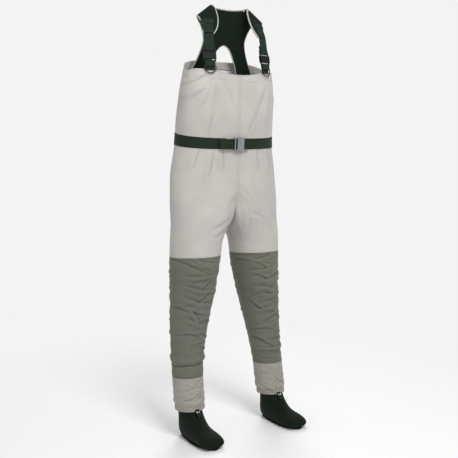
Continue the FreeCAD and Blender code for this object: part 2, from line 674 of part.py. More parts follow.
def strap_frame(garment, side):
    """The strap's own frame: up the strap, across it and inwards, at the foot of the tab."""
    yaw = math.radians(cell("strap_yaw"))
    up = Vector(-side * cell("strap_lean_in"), cell("strap_lean_back"), cell("strap_rise")).normalize()
    across = Vector(math.cos(yaw), side * math.sin(yaw), 0)
    inward = up.cross(across).normalize()
    across = inward.cross(up)
    x, height = side * cell("strap_x"), cell("tab_height")
    half_loop = cell("wrap_radius") + 2 * cell("webbing") + cell("tab_gap")
    point = Vector(x, front_surface(garment.Shape, x, height), height)
    turn = FreeCAD.Rotation(across, inward, up, "ZXY")
    return FreeCAD.Placement(point - inward * half_loop, turn)


def shifted(place, rise):
    """A placement moved along its own up axis."""
    return place.multiply(FreeCAD.Placement(Vector(0, 0, rise), FreeCAD.Rotation()))


def d_ring(word, place):
    """A bent wire ring with a straight bar, which hangs in the strap tab."""
    half, side, bend = cell("ring_half_width"), cell("ring_side"), cell("ring_corner")
    straight = half - bend
    slack = bend * (1 - math.sqrt(0.5))
    edges = [
        Part.LineSegment(Vector(-straight, 0, 0), Vector(straight, 0, 0)),
        Part.Arc(Vector(straight, 0, 0), Vector(half - slack, 0, -slack), Vector(half, 0, -bend)),
        Part.LineSegment(Vector(half, 0, -bend), Vector(half, 0, -side)),
        Part.Arc(Vector(half, 0, -side), Vector(0, 0, -side - half), Vector(-half, 0, -side)),
        Part.LineSegment(Vector(-half, 0, -side), Vector(-half, 0, -bend)),
        Part.Arc(Vector(-half, 0, -bend), Vector(slack - half, 0, -slack), Vector(-straight, 0, 0)),
    ]
    path = Part.Wire([edge.toShape() for edge in edges])
    circle = Part.Circle(Vector(-straight, 0, 0), Vector(1, 0, 0), cell("ring_wire"))
    ring = path.makePipeShell([Part.Wire([circle.toShape()])], True, False)
    return node(solid_feature(word + "_ring", ring), f"{word}_d_ring", shifted(place, cell("ring_bar")))


def strap(side, word, frame):
    """The webbing tab, D-ring, buckle, webbing and webbing fold of one shoulder strap."""
    half = cell("webbing_width") / 2
    loop = closed_loop(word + "_tab_loop", half, cell("ring_bar"), cell("buckle_bar"))
    back = cell("wrap_radius") + cell("webbing")
    low = Vector(-half, back, cell("tab_foot"))
    high = Vector(half, back + cell("webbing"), cell("buckle_bar") - cell("webbing"))
    patch = slab(word + "_tab_patch", low, high)
    node(fuse(word + "_tab", [loop, patch]), f"{word}_strap_tab", frame)
    d_ring(word, frame)
    place = shifted(frame, cell("buckle_bar"))
    prefix = word + "_strap"
    socket(prefix, place)
    plug(prefix, place)
    prongs(prefix, place)
    bar = cell("lock_bar")
    ends = (bar + cell("tail_front"), bar + cell("tail_back"))
    node(fold_profile(prefix + "_tail_web", half, bar, *ends), prefix + "_tail", place)
    near, far = cell("wrap_radius"), cell("wrap_radius") + cell("webbing")
    low = Vector(-half, -far, ends[0] + 0.1)
    high = Vector(half, -near, cell("strap_top") - cell("buckle_bar"))
    node(slab(prefix + "_web", low, high), prefix + "_webbing", place)


def wing(side, word, frame):
    """One padded wing of the yoke, from the shoulder's crest down to the strap."""
    neck = Vector(side * cell("neck_x"), cell("crest_front"), cell("neck_height"))
    shoulder = Vector(side * cell("shoulder_x"), cell("crest_front"), cell("shoulder_height"))
    foot = frame.multVec(Vector(0, 0, cell("strap_top") + cell("wing_rise")))
    crest_line = (neck - shoulder).normalize()
    normal = crest_line.cross(foot - shoulder).normalize()
    if normal.y > 0:
        normal = -normal
    across = Vector(-normal.y, normal.x, 0).normalize()
    if across.x < 0:
        across = -across
    up = across.cross(-normal).normalize()
    if up.z < 0:
        up = -up
    half = cell("webbing_width") / 2 + cell("wing_margin")
    inward = -side

    def at(u, v, lift=0.0):
        return foot + across * u + up * v + normal * lift

    def flat(point):
        offset = point - foot
        return offset.dot(across), offset.dot(up)

    neck_u, neck_v = flat(neck)
    shoulder_u, shoulder_v = flat(shoulder)
    drop = cell("wing_drop")
    corners = [(inward * half, 0), (-inward * half, 0)]
    corners += [(shoulder_u, shoulder_v - drop), (neck_u, neck_v - drop)]
    points = [at(u, v) for u, v in corners]
    bulge = at(inward * cell("wing_bulge"), cell("wing_bulge_rise"))
    edges = [Part.LineSegment(points[i], points[i + 1]).toShape() for i in range(3)]
    edges.append(Part.Arc(points[3], bulge, points[0]).toShape())
    outline = Part.Wire(edges)
    inset = outline.makeOffset2D(-cell("binding"))
    body = thick_sheet(Part.Face(inset), normal, cell("yoke"))
    ring_face = Part.Face(outline).cut(Part.Face(inset))
    binding = thick_sheet(ring_face, normal, cell("binding_thick"))
    node(solid_feature(word + "_wing_pad", body), f"{word}_shoulder_wing")
    node(solid_feature(word + "_wing_edge", binding), f"{word}_wing_binding")

    lift = cell("binding_thick") / 2 + cell("pad_gap")
    half_web = cell("webbing_width") / 2
    rise = cell("wing_webbing_rise")
    margin = cell("wing_margin")
    corners = [at(-half_web, margin, lift), at(half_web, margin, lift)]
    corners += [at(half_web, rise, lift), at(-half_web, rise, lift)]
    patch = Part.Face(Part.makePolygon(corners + corners[:1]))
    web = patch.extrude(normal * cell("webbing"))
    node(solid_feature(word + "_wing_web", web), f"{word}_wing_webbing")
    crest(word, neck, shoulder)


def thick_sheet(face, normal, thickness):
    """A face thickened equally on both sides."""
    start = face.copy()
    start.translate(normal * (-thickness / 2))
    return start.extrude(normal * thickness)


def plate_depth(height):
    """Depth of the middle of the yoke's plate at a height."""
    rise = height - cell("plate_foot_height")
    return cell("plate_depth") - rise * math.tan(math.radians(cell("plate_lean")))


def crest(word, neck, shoulder):
    """The folded pad over the top of a shoulder, between the plate and the wing."""
    line = (shoulder - neck).normalize()
    lift = Vector(-line.z, 0, line.x)
    if lift.z < 0:
        lift = -lift
    pad = cell("yoke")
    sections = []
    for corner in (neck, shoulder):
        back = plate_depth(corner.z) + pad / 2
        front = cell("crest_front") - pad / 2
        middle = Vector(corner.x, (front + back) / 2, corner.z) + lift * cell("pad_gap")
        outer = (back - front) / 2
        inner = outer - pad
        fore = Vector(0, -1, 0)
        edges = [
            Part.Arc(middle + fore * outer, middle + lift * outer, middle - fore * outer).toShape(),
            Part.LineSegment(middle - fore * outer, middle - fore * inner).toShape(),
            Part.Arc(middle - fore * inner, middle + lift * inner, middle + fore * inner).toShape(),
            Part.LineSegment(middle + fore * inner, middle + fore * outer).toShape(),
        ]
        sections.append(Part.Wire(edges))
    node(solid_feature(word + "_crest_pad", Part.makeLoft(sections, True, True)), f"{word}_shoulder_crest")


def yoke_plate():
    """The padded back plate, arched between its two feet, with its edge binding."""
    def at(x, height):
        return Vector(x, 0, height)

    foot, inner, outer = cell("plate_foot_height"), cell("plate_foot_inner"), cell("plate_foot_outer")
    waist, waist_height = cell("plate_waist"), cell("plate_waist_height")
    shoulder, shoulder_height = cell("shoulder_x"), cell("shoulder_height")
    neck, neck_height = cell("neck_x"), cell("neck_height")
    arch, bend = cell("arch_height"), cell("arch_bend")
    spring = arch - cell("arch_bend_drop")
    edges = [
        Part.LineSegment(at(-inner, foot), at(-bend, spring)),
        Part.Arc(at(-bend, spring), at(0, arch), at(bend, spring)),
        Part.LineSegment(at(bend, spring), at(inner, foot)),
        Part.LineSegment(at(inner, foot), at(outer, foot)),
        Part.Arc(at(outer, foot), at(waist, waist_height), at(shoulder, shoulder_height)),
        Part.LineSegment(at(shoulder, shoulder_height), at(neck, neck_height)),
        Part.Arc(at(neck, neck_height), at(0, cell("neck_dip")), at(-neck, neck_height)),
        Part.LineSegment(at(-neck, neck_height), at(-shoulder, shoulder_height)),
        Part.Arc(at(-shoulder, shoulder_height), at(-waist, waist_height), at(-outer, foot)),
        Part.LineSegment(at(-outer, foot), at(-inner, foot)),
    ]
    outline = Part.Wire([edge.toShape() for edge in edges])
    inset = outline.makeOffset2D(-cell("binding"))
    reach = cell("reach")
    lean = FreeCAD.Rotation(Vector(1, 0, 0), cell("plate_lean"))
    shapes = {}
    for name, thickness in (("pad", cell("yoke")), ("edge", cell("binding_thick"))):
        room = Part.makeBox(reach, thickness, reach, Vector(-reach / 2, -thickness / 2, -reach / 2))
        centre = Vector(0, cell("plate_depth"), foot)
        room.Placement = FreeCAD.Placement(centre, lean).multiply(room.Placement)
        shapes[name] = room
    through = Vector(0, reach, 0)
    faces = {"pad": Part.Face(inset), "edge": Part.Face(outline).cut(Part.Face(inset))}
    for name, label in (("pad", "yoke_plate"), ("edge", "yoke_binding")):
        face = faces[name]
        face.translate(-through / 2)
        node(solid_feature("yoke_" + name, face.extrude(through).common(shapes[name])), label)


# ---------------------------------------------------------------- building, checking and writing

def build():
    """Make every sub-part."""
    fill_sheet()
    shell_panels()
    linings()
    for side, word in SIDES:
        ankles(side, word)
        lace_hook(side, word)
    doc.recompute()
    garment = doc.getObject("shell_outer")
    belt(garment)
    yoke_plate()
    for side, word in SIDES:
        frame = strap_frame(garment, side)
        strap(side, word, frame)
        wing(side, word, frame)
    doc.recompute()


def faults():
    """Every object that failed and every sub-part without a sound solid."""
    found = [made.Name for made in doc.Objects if {"Invalid", "Error"} & set(made.State)]
    for made in node_objects:
        shape = made.Shape
        if shape.isNull() or not shape.isValid() or not shape.Solids:
            found.append(made.Label)
    return found


def write_parts():
    """Write each sub-part's shape to its own file."""
    os.makedirs("parts", exist_ok=True)
    for made in node_objects:
        made.Shape.exportStep(f"parts/{made.Label}.step")


build()
problems = faults()
if problems:
    raise SystemExit("failed: " + ", ".join(problems))
write_parts()
for made in node_objects:
    box = made.Shape.BoundBox
    print(f"{made.Label:28s} solids {len(made.Shape.Solids)} volume {made.Shape.Volume:10.1f} "
          f"x {box.XMin:7.1f} {box.XMax:7.1f} y {box.YMin:7.1f} {box.YMax:7.1f} z {box.ZMin:7.1f} {box.ZMax:7.1f}")
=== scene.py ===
"""Chest waders: the cloth, webbing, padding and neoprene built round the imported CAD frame. Metres."""
import json
import math

import bmesh
import bpy
import numpy as np
from mathutils import Matrix, Vector


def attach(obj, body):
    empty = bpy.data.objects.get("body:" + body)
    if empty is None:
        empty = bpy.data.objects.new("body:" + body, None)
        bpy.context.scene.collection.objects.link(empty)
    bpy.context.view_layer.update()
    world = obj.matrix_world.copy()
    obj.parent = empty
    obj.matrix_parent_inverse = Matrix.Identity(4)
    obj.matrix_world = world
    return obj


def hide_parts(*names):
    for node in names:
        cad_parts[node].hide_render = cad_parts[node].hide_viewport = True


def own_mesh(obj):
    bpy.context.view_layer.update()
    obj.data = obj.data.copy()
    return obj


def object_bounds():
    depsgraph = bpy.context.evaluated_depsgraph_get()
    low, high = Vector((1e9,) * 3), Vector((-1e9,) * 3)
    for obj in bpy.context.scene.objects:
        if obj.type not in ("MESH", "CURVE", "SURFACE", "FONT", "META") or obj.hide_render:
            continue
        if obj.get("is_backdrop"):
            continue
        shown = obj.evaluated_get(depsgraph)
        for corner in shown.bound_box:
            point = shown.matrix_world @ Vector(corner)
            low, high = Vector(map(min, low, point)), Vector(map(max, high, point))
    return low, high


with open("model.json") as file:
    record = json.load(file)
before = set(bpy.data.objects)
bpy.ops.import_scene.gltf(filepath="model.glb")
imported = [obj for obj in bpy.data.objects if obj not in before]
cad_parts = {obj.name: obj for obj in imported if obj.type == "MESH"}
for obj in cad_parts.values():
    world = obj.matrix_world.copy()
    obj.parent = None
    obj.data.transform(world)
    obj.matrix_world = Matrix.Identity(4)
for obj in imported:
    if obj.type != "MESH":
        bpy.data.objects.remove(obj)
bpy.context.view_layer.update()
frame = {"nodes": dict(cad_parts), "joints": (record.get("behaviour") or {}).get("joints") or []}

SIDES = ((-1, "right"), (1, "left"))
ROOT = "waders"
JOINTS = {joint["name"]: joint for joint in frame["joints"]}
rng = np.random.default_rng(7)

# ---------------------------------------------------------------- sections of the garment, as in the CAD

# height, half width, front, side seam, back, squareness of the front
TORSO = [
    (0.870, 0.225, -0.060, 0.045, 0.137, 2.2),
    (0.970, 0.221, -0.054, 0.047, 0.136, 2.2),
    (1.080, 0.200, -0.062, 0.039, 0.135, 2.4),
    (1.170, 0.198, -0.075, 0.029, 0.121, 2.6),
    (1.280, 0.191, -0.083, 0.009, 0.093, 2.8),
    (1.420, 0.166, -0.085, -0.005, 0.058, 3.0),
]
# height, distance from the middle, depth, radius
LEG = [
    (0.107, 0.183, 0.029, 0.0535),
    (0.170, 0.182, 0.038, 0.0575),
    (0.227, 0.181, 0.044, 0.0570),
    (0.310, 0.175, 0.052, 0.0610),
    (0.410, 0.163, 0.056, 0.0710),
    (0.530, 0.145, 0.054, 0.0840),
    (0.630, 0.134, 0.051, 0.0940),
    (0.730, 0.126, 0.045, 0.0980),
    (0.845, 0.117, 0.042, 0.1010),
]
# heights: the rim at the sides, the crotch, the seam at the knee, the cuff, the hem of the guards, the belt
RIM, FORK, SEAM, CUFF, HEM = 1.360, 0.855, 0.667, 0.227, 0.107
BELT = 1.088
FRONT_DIP, BACK_RISE, SIDE_DIP = 0.013, 0.007, 0.015   # of the rim
HALF = 104            # segments round half the torso
BRIDGE = 24           # segments across the crotch
ROWS = (84, 31, 73, 20)   # rows from rim to fork, fork to seam, seam to cuff, cuff to hem


def profile(rows, at, spread=0.022):
    """Columns of a station table at the heights asked for, smoothed between the stations."""
    step, reach = 0.002, 45
    z = [row[0] for row in rows]
    fine = np.arange(z[0] - 0.1, z[-1] + 0.1, step)
    kernel = np.exp(-0.5 * (np.arange(-reach, reach + 1) * step / spread) ** 2)
    kernel /= kernel.sum()
    out = []
    for column in range(1, len(rows[0])):
        values = np.interp(fine, z, [row[column] for row in rows])
        values = np.convolve(np.pad(values, reach, mode="edge"), kernel, mode="valid")
        out.append(np.interp(at, fine, values))
    return out


def torso_ring(height, outset=0.0):
    """2 * HALF points round the torso, from the front's middle over the wearer's left side."""
    half, front, side, back, square = (float(v) for v in profile(TORSO, height))
    angle = np.linspace(0, math.pi, 721)
    across, along = np.sin(angle), -np.cos(angle)
    reach = np.where(along < 0, side - front, back - side)
    power = np.where(along < 0, square, 2.2)
    radius = (np.abs(across / half) ** power + np.abs(along / reach) ** power) ** (-1 / power)
    x, y = radius * across, side + radius * along
    quarters = []
    for part in (slice(0, 361), slice(360, 721)):
        length = np.concatenate([[0], np.cumsum(np.hypot(np.diff(x[part]), np.diff(y[part])))])
        where = np.linspace(0, length[-1], HALF // 2 + 1)
        quarters.append(np.stack([np.interp(where, length, x[part]), np.interp(where, length, y[part])], 1))
    left = np.concatenate([quarters[0], quarters[1][1:]])
    right = left[1:-1][::-1] * (-1, 1)
    ring = np.concatenate([left, right])
    if outset:
        centre = np.array([0.0, side])
        away = ring - centre
        ring = ring + outset * away / np.linalg.norm(away, axis=1)[:, None]
    return ring


def slope(height):
    """Tangent of the tilt of the garment's rows at a height."""
    tilt = np.interp(height, [0.855, 0.93, 1.088, 1.360], [0.0, 4.0, 11.9, 18.0])
    return math.tan(math.radians(float(tilt)))


def tilted_ring(height, outset=0.0):
    """A torso ring in a tilted plane, as the belt and the rim lie."""
    lean = slope(height)
    points = torso_ring(height, outset)
    for _ in range(4):
        level = height + lean * points[:, 1]
        low, high = level.min(), level.max()
        steps = np.linspace(low, high, 7)
        rings = np.stack([torso_ring(h, outset) for h in steps])
        place = (level - low) / max(high - low, 1e-6) * (len(steps) - 1)
        first = np.clip(place.astype(int), 0, len(steps) - 2)
        share = (place - first)[:, None]
        every = np.arange(2 * HALF)
        points = rings[first, every] * (1 - share) + rings[first + 1, every] * share
    return np.concatenate([points, level[:, None]], 1)


def base_garment():
    """Vertices, faces and row and column numbers of the whole cloth shell."""
    heights = np.linspace(RIM, FORK, ROWS[0] + 1)
    torso = []
    for row, height in enumerate(heights):
        ring = tilted_ring(height)
        t = 1 - row / ROWS[0]
        front = ring[:, 1] < 0
        middle = np.clip(1 - (ring[:, 0] / 0.105) ** 2, 0, 1)
        ring[:, 2] -= FRONT_DIP * middle * front * t ** 5
        back = np.clip((ring[:, 1] - 0.01) / 0.045, 0, 1)
        ring[:, 2] += BACK_RISE * back * t ** 5
        ring[:, 2] -= SIDE_DIP * np.exp(-((ring[:, 1] + 0.012) / 0.034) ** 2) * t ** 5
        crease = np.clip(1 - (height - FORK) / 0.11, 0, 1) ** 2   # where the torso divides into legs
        groove = np.exp(-(ring[:, 0] / 0.035) ** 2)
        ring[:, 1] += crease * groove * np.where(front, 0.022, -0.018)
        torso.append(ring)
    torso = np.array(torso)
    fork = torso[-1]
    start, end = fork[HALF], fork[0]
    s = np.linspace(0, 1, BRIDGE + 1)[1:-1]
    bridge = start[None] * (1 - s)[:, None] + end[None] * s[:, None]
    bridge[:, 2] -= 0.036 * np.sin(math.pi * s) ** 0.8
    vertices = [torso.reshape(-1, 3), bridge]
    torso_id = np.arange(torso.size // 3).reshape(len(torso), -1)
    bridge_id = torso_id.size + np.arange(BRIDGE - 1)
    count = torso_id.size + BRIDGE - 1
    spans = ((FORK, SEAM, ROWS[1]), (SEAM, CUFF, ROWS[2]), (CUFF, HEM, ROWS[3]))
    levels = np.concatenate([np.linspace(a, b, n + 1)[1:] for a, b, n in spans])
    legs = {}
    for side, word in SIDES:
        if side > 0:
            top = np.concatenate([torso_id[-1, :HALF + 1], bridge_id])
        else:
            top = np.concatenate([torso_id[-1, :1], torso_id[-1, :HALF - 1:-1], bridge_id])
        points = np.concatenate([vertices[0], bridge])[top]
        size = HALF + BRIDGE
        spread = math.pi * BRIDGE / size
        angle = -(math.pi - spread) + np.arange(size) * 2 * math.pi / size
        rows = [top]
        for level in levels:
            offset, depth, radius = (float(v) for v in profile(LEG, level))
            circle = np.stack([side * (offset + radius * np.cos(angle)), depth + radius * np.sin(angle),
                               np.full(size, level)], 1)
            share = np.clip((FORK - level) / 0.15, 0, 1)
            share = share * share * (3 - 2 * share)
            carried = points.copy()
            carried[:, 2] += (level - FORK) * (1 - 0.3 * share)
            ring = carried * (1 - share) + circle * share
            rows.append(count + np.arange(size))
            vertices.append(ring)
            count += size
        legs[word] = np.array(rows)
    return np.concatenate(vertices), torso_id, bridge_id, legs


def normals_of(points, faces):
    """Area-weighted vertex normals."""
    a, b, c, d = (points[faces[:, i]] for i in range(4))
    face = np.cross(c - a, d - b)
    out = np.zeros_like(points)
    for i in range(4):
        for axis in range(3):
            out[:, axis] += np.bincount(faces[:, i], face[:, axis], len(points))
    return out / np.maximum(np.linalg.norm(out, axis=1), 1e-12)[:, None]


# ---------------------------------------------------------------- folds and the cloth solver

def ridge(points, start, end, width, height, facing, normals, bend=0.0):
    """Height of one soft fold drawn from start to end, both (x, z), on the side that faces a direction."""
    p = points[:, [0, 2]]
    a, b = np.array(start), np.array(end)
    line = b - a
    length = np.linalg.norm(line)
    t = np.clip(((p - a) @ line) / length ** 2, 0, 1)
    side = np.array([-line[1], line[0]]) / length
    nearest = a + t[:, None] * line + (bend * np.sin(math.pi * t))[:, None] * side
    away = np.linalg.norm(p - nearest, axis=1)
    over = ((p - a) @ line) / length ** 2
    outside = np.maximum(np.maximum(-over, over - 1), 0) * length
    signed = (p - nearest) @ side
    q = signed / width
    crest = np.exp(-np.abs(q) ** 1.6) - 0.70 * np.exp(-((q - 1.25) / 0.6) ** 2)
    taper = np.sin(math.pi * np.clip(t * 0.9 + 0.05, 0, 1)) ** 0.7 * np.exp(-(outside / width) ** 2)
    near = np.exp(-np.maximum(away - 3 * width, 0) / width)
    face = np.clip(normals[:, 1] * facing * 3 + 0.3, 0, 1)
    return height * crest * taper * near * face


FRONT, BACK = -1, 1
# start (x, z), end (x, z), width, height, bend: the folds that the cloth starts from
DRAWN = {
    FRONT: [
        ((-0.120, 1.315), (-0.190, 1.245), 0.011, 0.0067, 0.006),
        ((-0.125, 1.305), (-0.160, 1.205), 0.012, 0.0060, 0.004),
        ((-0.135, 1.330), (-0.195, 1.295), 0.009, 0.0060, 0.003),
        ((-0.110, 1.305), (-0.125, 1.130), 0.018, 0.0060, -0.006),
        ((-0.100, 1.300), (-0.020, 1.140), 0.020, 0.0053, 0.008),
        ((0.115, 1.305), (0.040, 1.120), 0.018, 0.0057, -0.008),
        ((0.125, 1.300), (0.120, 1.160), 0.016, 0.0045, 0.005),
        ((0.140, 1.310), (0.185, 1.230), 0.012, 0.0053, -0.004),
        ((-0.110, 1.060), (-0.125, 0.970), 0.010, 0.0067, 0.003),
        ((-0.160, 1.065), (-0.178, 1.000), 0.009, 0.0067, 0.002),
        ((-0.075, 1.060), (-0.070, 0.990), 0.010, 0.0053, 0.000),
        ((0.075, 1.060), (0.085, 0.990), 0.010, 0.0045, 0.000),
        ((0.130, 1.060), (0.150, 0.985), 0.010, 0.0053, 0.000),
        ((-0.110, 1.110), (-0.100, 1.170), 0.010, 0.0053, 0.000),
        ((0.055, 1.110), (0.075, 1.165), 0.011, 0.0045, 0.000),
        ((0.012, 0.900), (0.060, 0.845), 0.010, 0.0022, 0.004),
        ((-0.012, 0.895), (-0.065, 0.830), 0.011, 0.0024, -0.004),
        ((0.020, 0.860), (0.040, 0.760), 0.013, 0.0030, 0.004),
        ((-0.035, 0.818), (-0.110, 0.785), 0.012, 0.0050, 0.004),
        ((-0.030, 0.795), (-0.100, 0.750), 0.011, 0.0053, 0.004),
        ((0.045, 0.808), (0.110, 0.785), 0.012, 0.0030, 0.004),
        ((-0.175, 0.660), (-0.105, 0.625), 0.008, 0.0074, -0.004),
        ((-0.150, 0.650), (-0.075, 0.638), 0.007, 0.0054, -0.004),
        ((-0.200, 0.595), (-0.080, 0.602), 0.008, 0.0061, -0.005),
        ((-0.205, 0.560), (-0.120, 0.540), 0.008, 0.0081, -0.004),
        ((-0.205, 0.515), (-0.115, 0.490), 0.009, 0.0081, -0.006),
        ((-0.080, 0.538), (-0.130, 0.500), 0.008, 0.0068, 0.003),
        ((-0.200, 0.480), (-0.165, 0.425), 0.009, 0.0068, 0.003),
        ((-0.205, 0.440), (-0.120, 0.410), 0.009, 0.0047, -0.004),
        ((0.075, 0.635), (0.160, 0.660), 0.008, 0.0061, -0.004),
        ((0.080, 0.595), (0.175, 0.610), 0.008, 0.0054, -0.004),
        ((0.120, 0.555), (0.205, 0.580), 0.009, 0.0074, -0.005),
        ((0.090, 0.530), (0.170, 0.515), 0.009, 0.0068, 0.005),
        ((0.120, 0.500), (0.205, 0.490), 0.008, 0.0061, 0.004),
        ((0.110, 0.440), (0.190, 0.460), 0.009, 0.0047, -0.004),
        ((0.140, 0.315), (0.225, 0.322), 0.007, 0.0061, -0.003),
        ((0.130, 0.285), (0.220, 0.292), 0.007, 0.0061, -0.003),
        ((0.135, 0.258), (0.215, 0.262), 0.006, 0.0047, -0.002),
    ],
    BACK: [
        ((-0.090, 1.260), (-0.140, 1.130), 0.016, 0.0053, 0.006),
        ((0.090, 1.260), (0.130, 1.130), 0.016, 0.0053, 0.006),
        ((-0.100, 1.070), (-0.110, 0.980), 0.011, 0.0067, 0.000),
        ((0.110, 1.070), (0.105, 0.985), 0.011, 0.0067, 0.000),
        ((-0.050, 1.070), (-0.045, 1.000), 0.011, 0.0053, 0.000),
        ((0.060, 1.075), (0.050, 1.005), 0.011, 0.0053, 0.000),
        ((-0.040, 0.870), (-0.120, 0.820), 0.014, 0.0075, 0.004),
        ((0.040, 0.870), (0.120, 0.820), 0.014, 0.0075, 0.004),
        ((-0.050, 0.830), (-0.150, 0.770), 0.013, 0.0060, 0.004),
        ((0.050, 0.830), (0.150, 0.775), 0.013, 0.0060, 0.004),
        ((-0.190, 0.570), (-0.090, 0.545), 0.010, 0.0081, 0.004),
        ((0.090, 0.555), (0.190, 0.570), 0.010, 0.0081, 0.004),
        ((-0.190, 0.525), (-0.100, 0.515), 0.010, 0.0081, -0.004),
        ((0.100, 0.510), (0.190, 0.530), 0.010, 0.0081, -0.004),
        ((-0.200, 0.470), (-0.110, 0.480), 0.010, 0.0068, 0.003),
        ((0.110, 0.475), (0.200, 0.465), 0.010, 0.0068, 0.003),
        ((-0.225, 0.300), (-0.135, 0.305), 0.008, 0.0061, 0.003),
        ((0.135, 0.300), (0.225, 0.308), 0.008, 0.0061, 0.003),
    ],
}
FOLDS = [(*fold[:4], facing, fold[4]) for facing, folds in DRAWN.items() for fold in folds]
# on the lower legs and on the guards: how many, lowest, highest, width, height
CREASES = ((16, 0.325, 0.635, 0.0065, 0.0036), (9, 0.135, 0.212, 0.0042, 0.0017))


def random_folds():
    """Short creases at all angles on the fronts and backs of the lower legs and the guards."""
    out = []
    for facing in (FRONT, BACK):
        for side, _ in SIDES:
            for count, low, high, width, height in CREASES:
                for level in np.linspace(low, high, count) + rng.uniform(-0.012, 0.012, count):
                    offset, _, radius = (float(v) for v in profile(LEG, level))
                    middle = side * offset + rng.uniform(-0.5, 0.5) * radius
                    reach = rng.uniform(0.35, 0.75) * radius
                    angle = math.radians(rng.uniform(8, 40) * rng.choice((-1, 1)))
                    step = reach * math.cos(angle), reach * math.sin(angle)
                    scale = rng.uniform(0.6, 1.2)
                    out.append(((middle + step[0], level + step[1]), (middle - step[0], level - step[1]),
                                width * scale, height * scale, facing, rng.uniform(-0.012, 0.012)))
    return out


FOLDS += random_folds()


def waves(points, count, longest, shortest, lean):
    """A smooth random field: many sine waves, mostly across the direction given by lean."""
    total = np.zeros(len(points))
    for _ in range(count):
        direction = rng.normal(size=3) * np.array(lean)
        direction /= np.linalg.norm(direction)
        length = rng.uniform(shortest, longest)
        total += np.sin(points @ direction * 2 * math.pi / length + rng.uniform(0, 6.28))
    return total / math.sqrt(count)


def grow(z, table):
    """A value by height."""
    return np.interp(z, [row[0] for row in table], [row[1] for row in table])


FOLD_LIMIT = 0.006                   # most that the drawn folds push the cloth before it settles
OVERSHOOT = 1.9                      # relaxation of the solver's step


